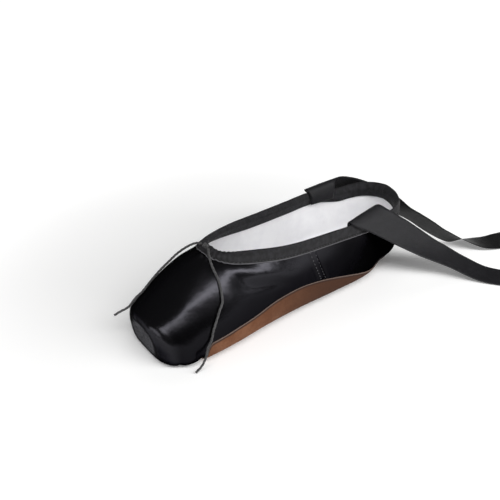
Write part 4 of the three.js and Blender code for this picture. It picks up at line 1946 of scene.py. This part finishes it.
@dataclass(frozen=True)
class Softbox:
    """A soft rectangular light that faces the shoe."""

    name: str
    offset: tuple[float, float, float]
    along: tuple[float, float, float]
    length: float
    width: float
    power: float
    tint: tuple[float, float, float] = (1.0, 1.0, 1.0)

    def build(self, aim: Vector) -> None:
        """Makes the light, facing a point.

        Args:
            aim: the point, in metres.
        """
        lamp = bpy.data.lights.new(self.name, "AREA")
        lamp.shape = "RECTANGLE"
        lamp.size, lamp.size_y = self.length, self.width
        lamp.energy, lamp.color = self.power, self.tint
        made = bpy.data.objects.new(self.name, lamp)
        back = Vector(self.offset).normalized()
        side = Vector(self.along)
        side = (side - back * side.dot(back)).normalized()
        turn = Matrix((side, back.cross(side), back)).transposed().to_4x4()
        made.matrix_world = Matrix.Translation(aim + Vector(self.offset)) @ turn
        bpy.context.scene.collection.objects.link(made)


def direction(azimuth: float, elevation: float) -> Vector:
    """The way to a viewer or light: azimuth 0 is towards the toe, 90 to the left."""
    a, e = math.radians(azimuth), math.radians(elevation)
    return Vector((math.sin(a) * math.cos(e), -math.cos(a) * math.cos(e), math.sin(e)))


@dataclass
class Studio:
    """The floor, the lights and the camera."""

    azimuth: float = 53.71
    elevation: float = 32.17
    roll: float = -1.52
    distance: float = 0.52
    aim: tuple[float, float, float] = (-0.02928, 0.03131, 0.02675)
    focal_share: float = 647 / 500
    sensor: float = 36.0
    floor_size: float = 6.0
    floor_drop: float = 0.0003
    world: float = 0.06
    lights: tuple[Softbox, ...] = (
        Softbox("overhead_strip", (0.962, 0.044, 0.925), (0.573, 0.812, -0.115), 3.35, 0.34, 34.0),
        Softbox("toe_softbox", (-0.1, -1.2, 0.3), (1.0, 0.0, 0.0), 0.7, 0.4, 3.0),
        Softbox("back_softbox", (-1.1, 1.1, 2.4), (1.0, 1.0, 0.0), 1.6, 1.6, 6.0),
    )

    def camera(self) -> None:
        """Makes the camera at the photograph's angle."""
        data = bpy.data.cameras.new("camera")
        data.sensor_width = self.sensor
        data.lens = self.sensor * self.focal_share
        data.clip_start, data.clip_end = 0.01, 20.0
        back = direction(self.azimuth, self.elevation)
        flat = Vector((math.cos(math.radians(self.azimuth)), math.sin(math.radians(self.azimuth)), 0))
        rise = back.cross(flat)
        c, s = math.cos(math.radians(self.roll)), math.sin(math.radians(self.roll))
        right, up = flat * c + rise * s, rise * c - flat * s
        made = bpy.data.objects.new("camera", data)
        turn = Matrix((right, up, back)).transposed().to_4x4()
        made.matrix_world = Matrix.Translation(Vector(self.aim) + back * self.distance) @ turn
        bpy.context.scene.collection.objects.link(made)
        bpy.context.scene.camera = made

    def floor(self) -> None:
        """Makes the pale floor just under the sole."""
        bm = bmesh.new()
        bmesh.ops.create_grid(bm, x_segments=8, y_segments=8, size=self.floor_size / 2)
        bmesh.ops.translate(bm, verts=bm.verts, vec=(0, 0, -self.floor_drop))
        made = finished(bm, "floor")
        made.data.materials.append(FloorFinish().material())

    def build(self) -> None:
        """Makes the studio."""
        self.camera()
        self.floor()
        for light in self.lights:
            light.build(Vector(self.aim))
        world = bpy.data.worlds.new("studio")
        world.use_nodes = True
        background = world.node_tree.nodes["Background"]
        background.inputs["Color"].default_value = (1.0, 1.0, 1.0, 1.0)
        background.inputs["Strength"].default_value = self.world
        bpy.context.scene.world = world
        bpy.context.scene.view_settings.view_transform = "Standard"


def main() -> None:
    """Builds the studio and the shoe's pieces in order."""
    logging.basicConfig(level=logging.INFO, format="%(message)s")
    Studio().build()
    last = Last()
    Drawstring(last).build()
    upper = SatinUpper(last)
    upper.build()
    Soles(last).build()
    CollarBinding(last).build()
    SeamStitches(upper).build()
    AnkleRibbon(last, "ankle_ribbon_left", "ribbon_left", LEFT_RIBBON_ROWS).build()
    # From its fold on, the right ribbon is painted darker, as painted shade.
    right = AnkleRibbon(last, "ankle_ribbon_right", "ribbon_right", RIGHT_RIBBON_ROWS, turned=(0.039, 0.041))
    right.build()


if __name__ == "__main__":
    main()
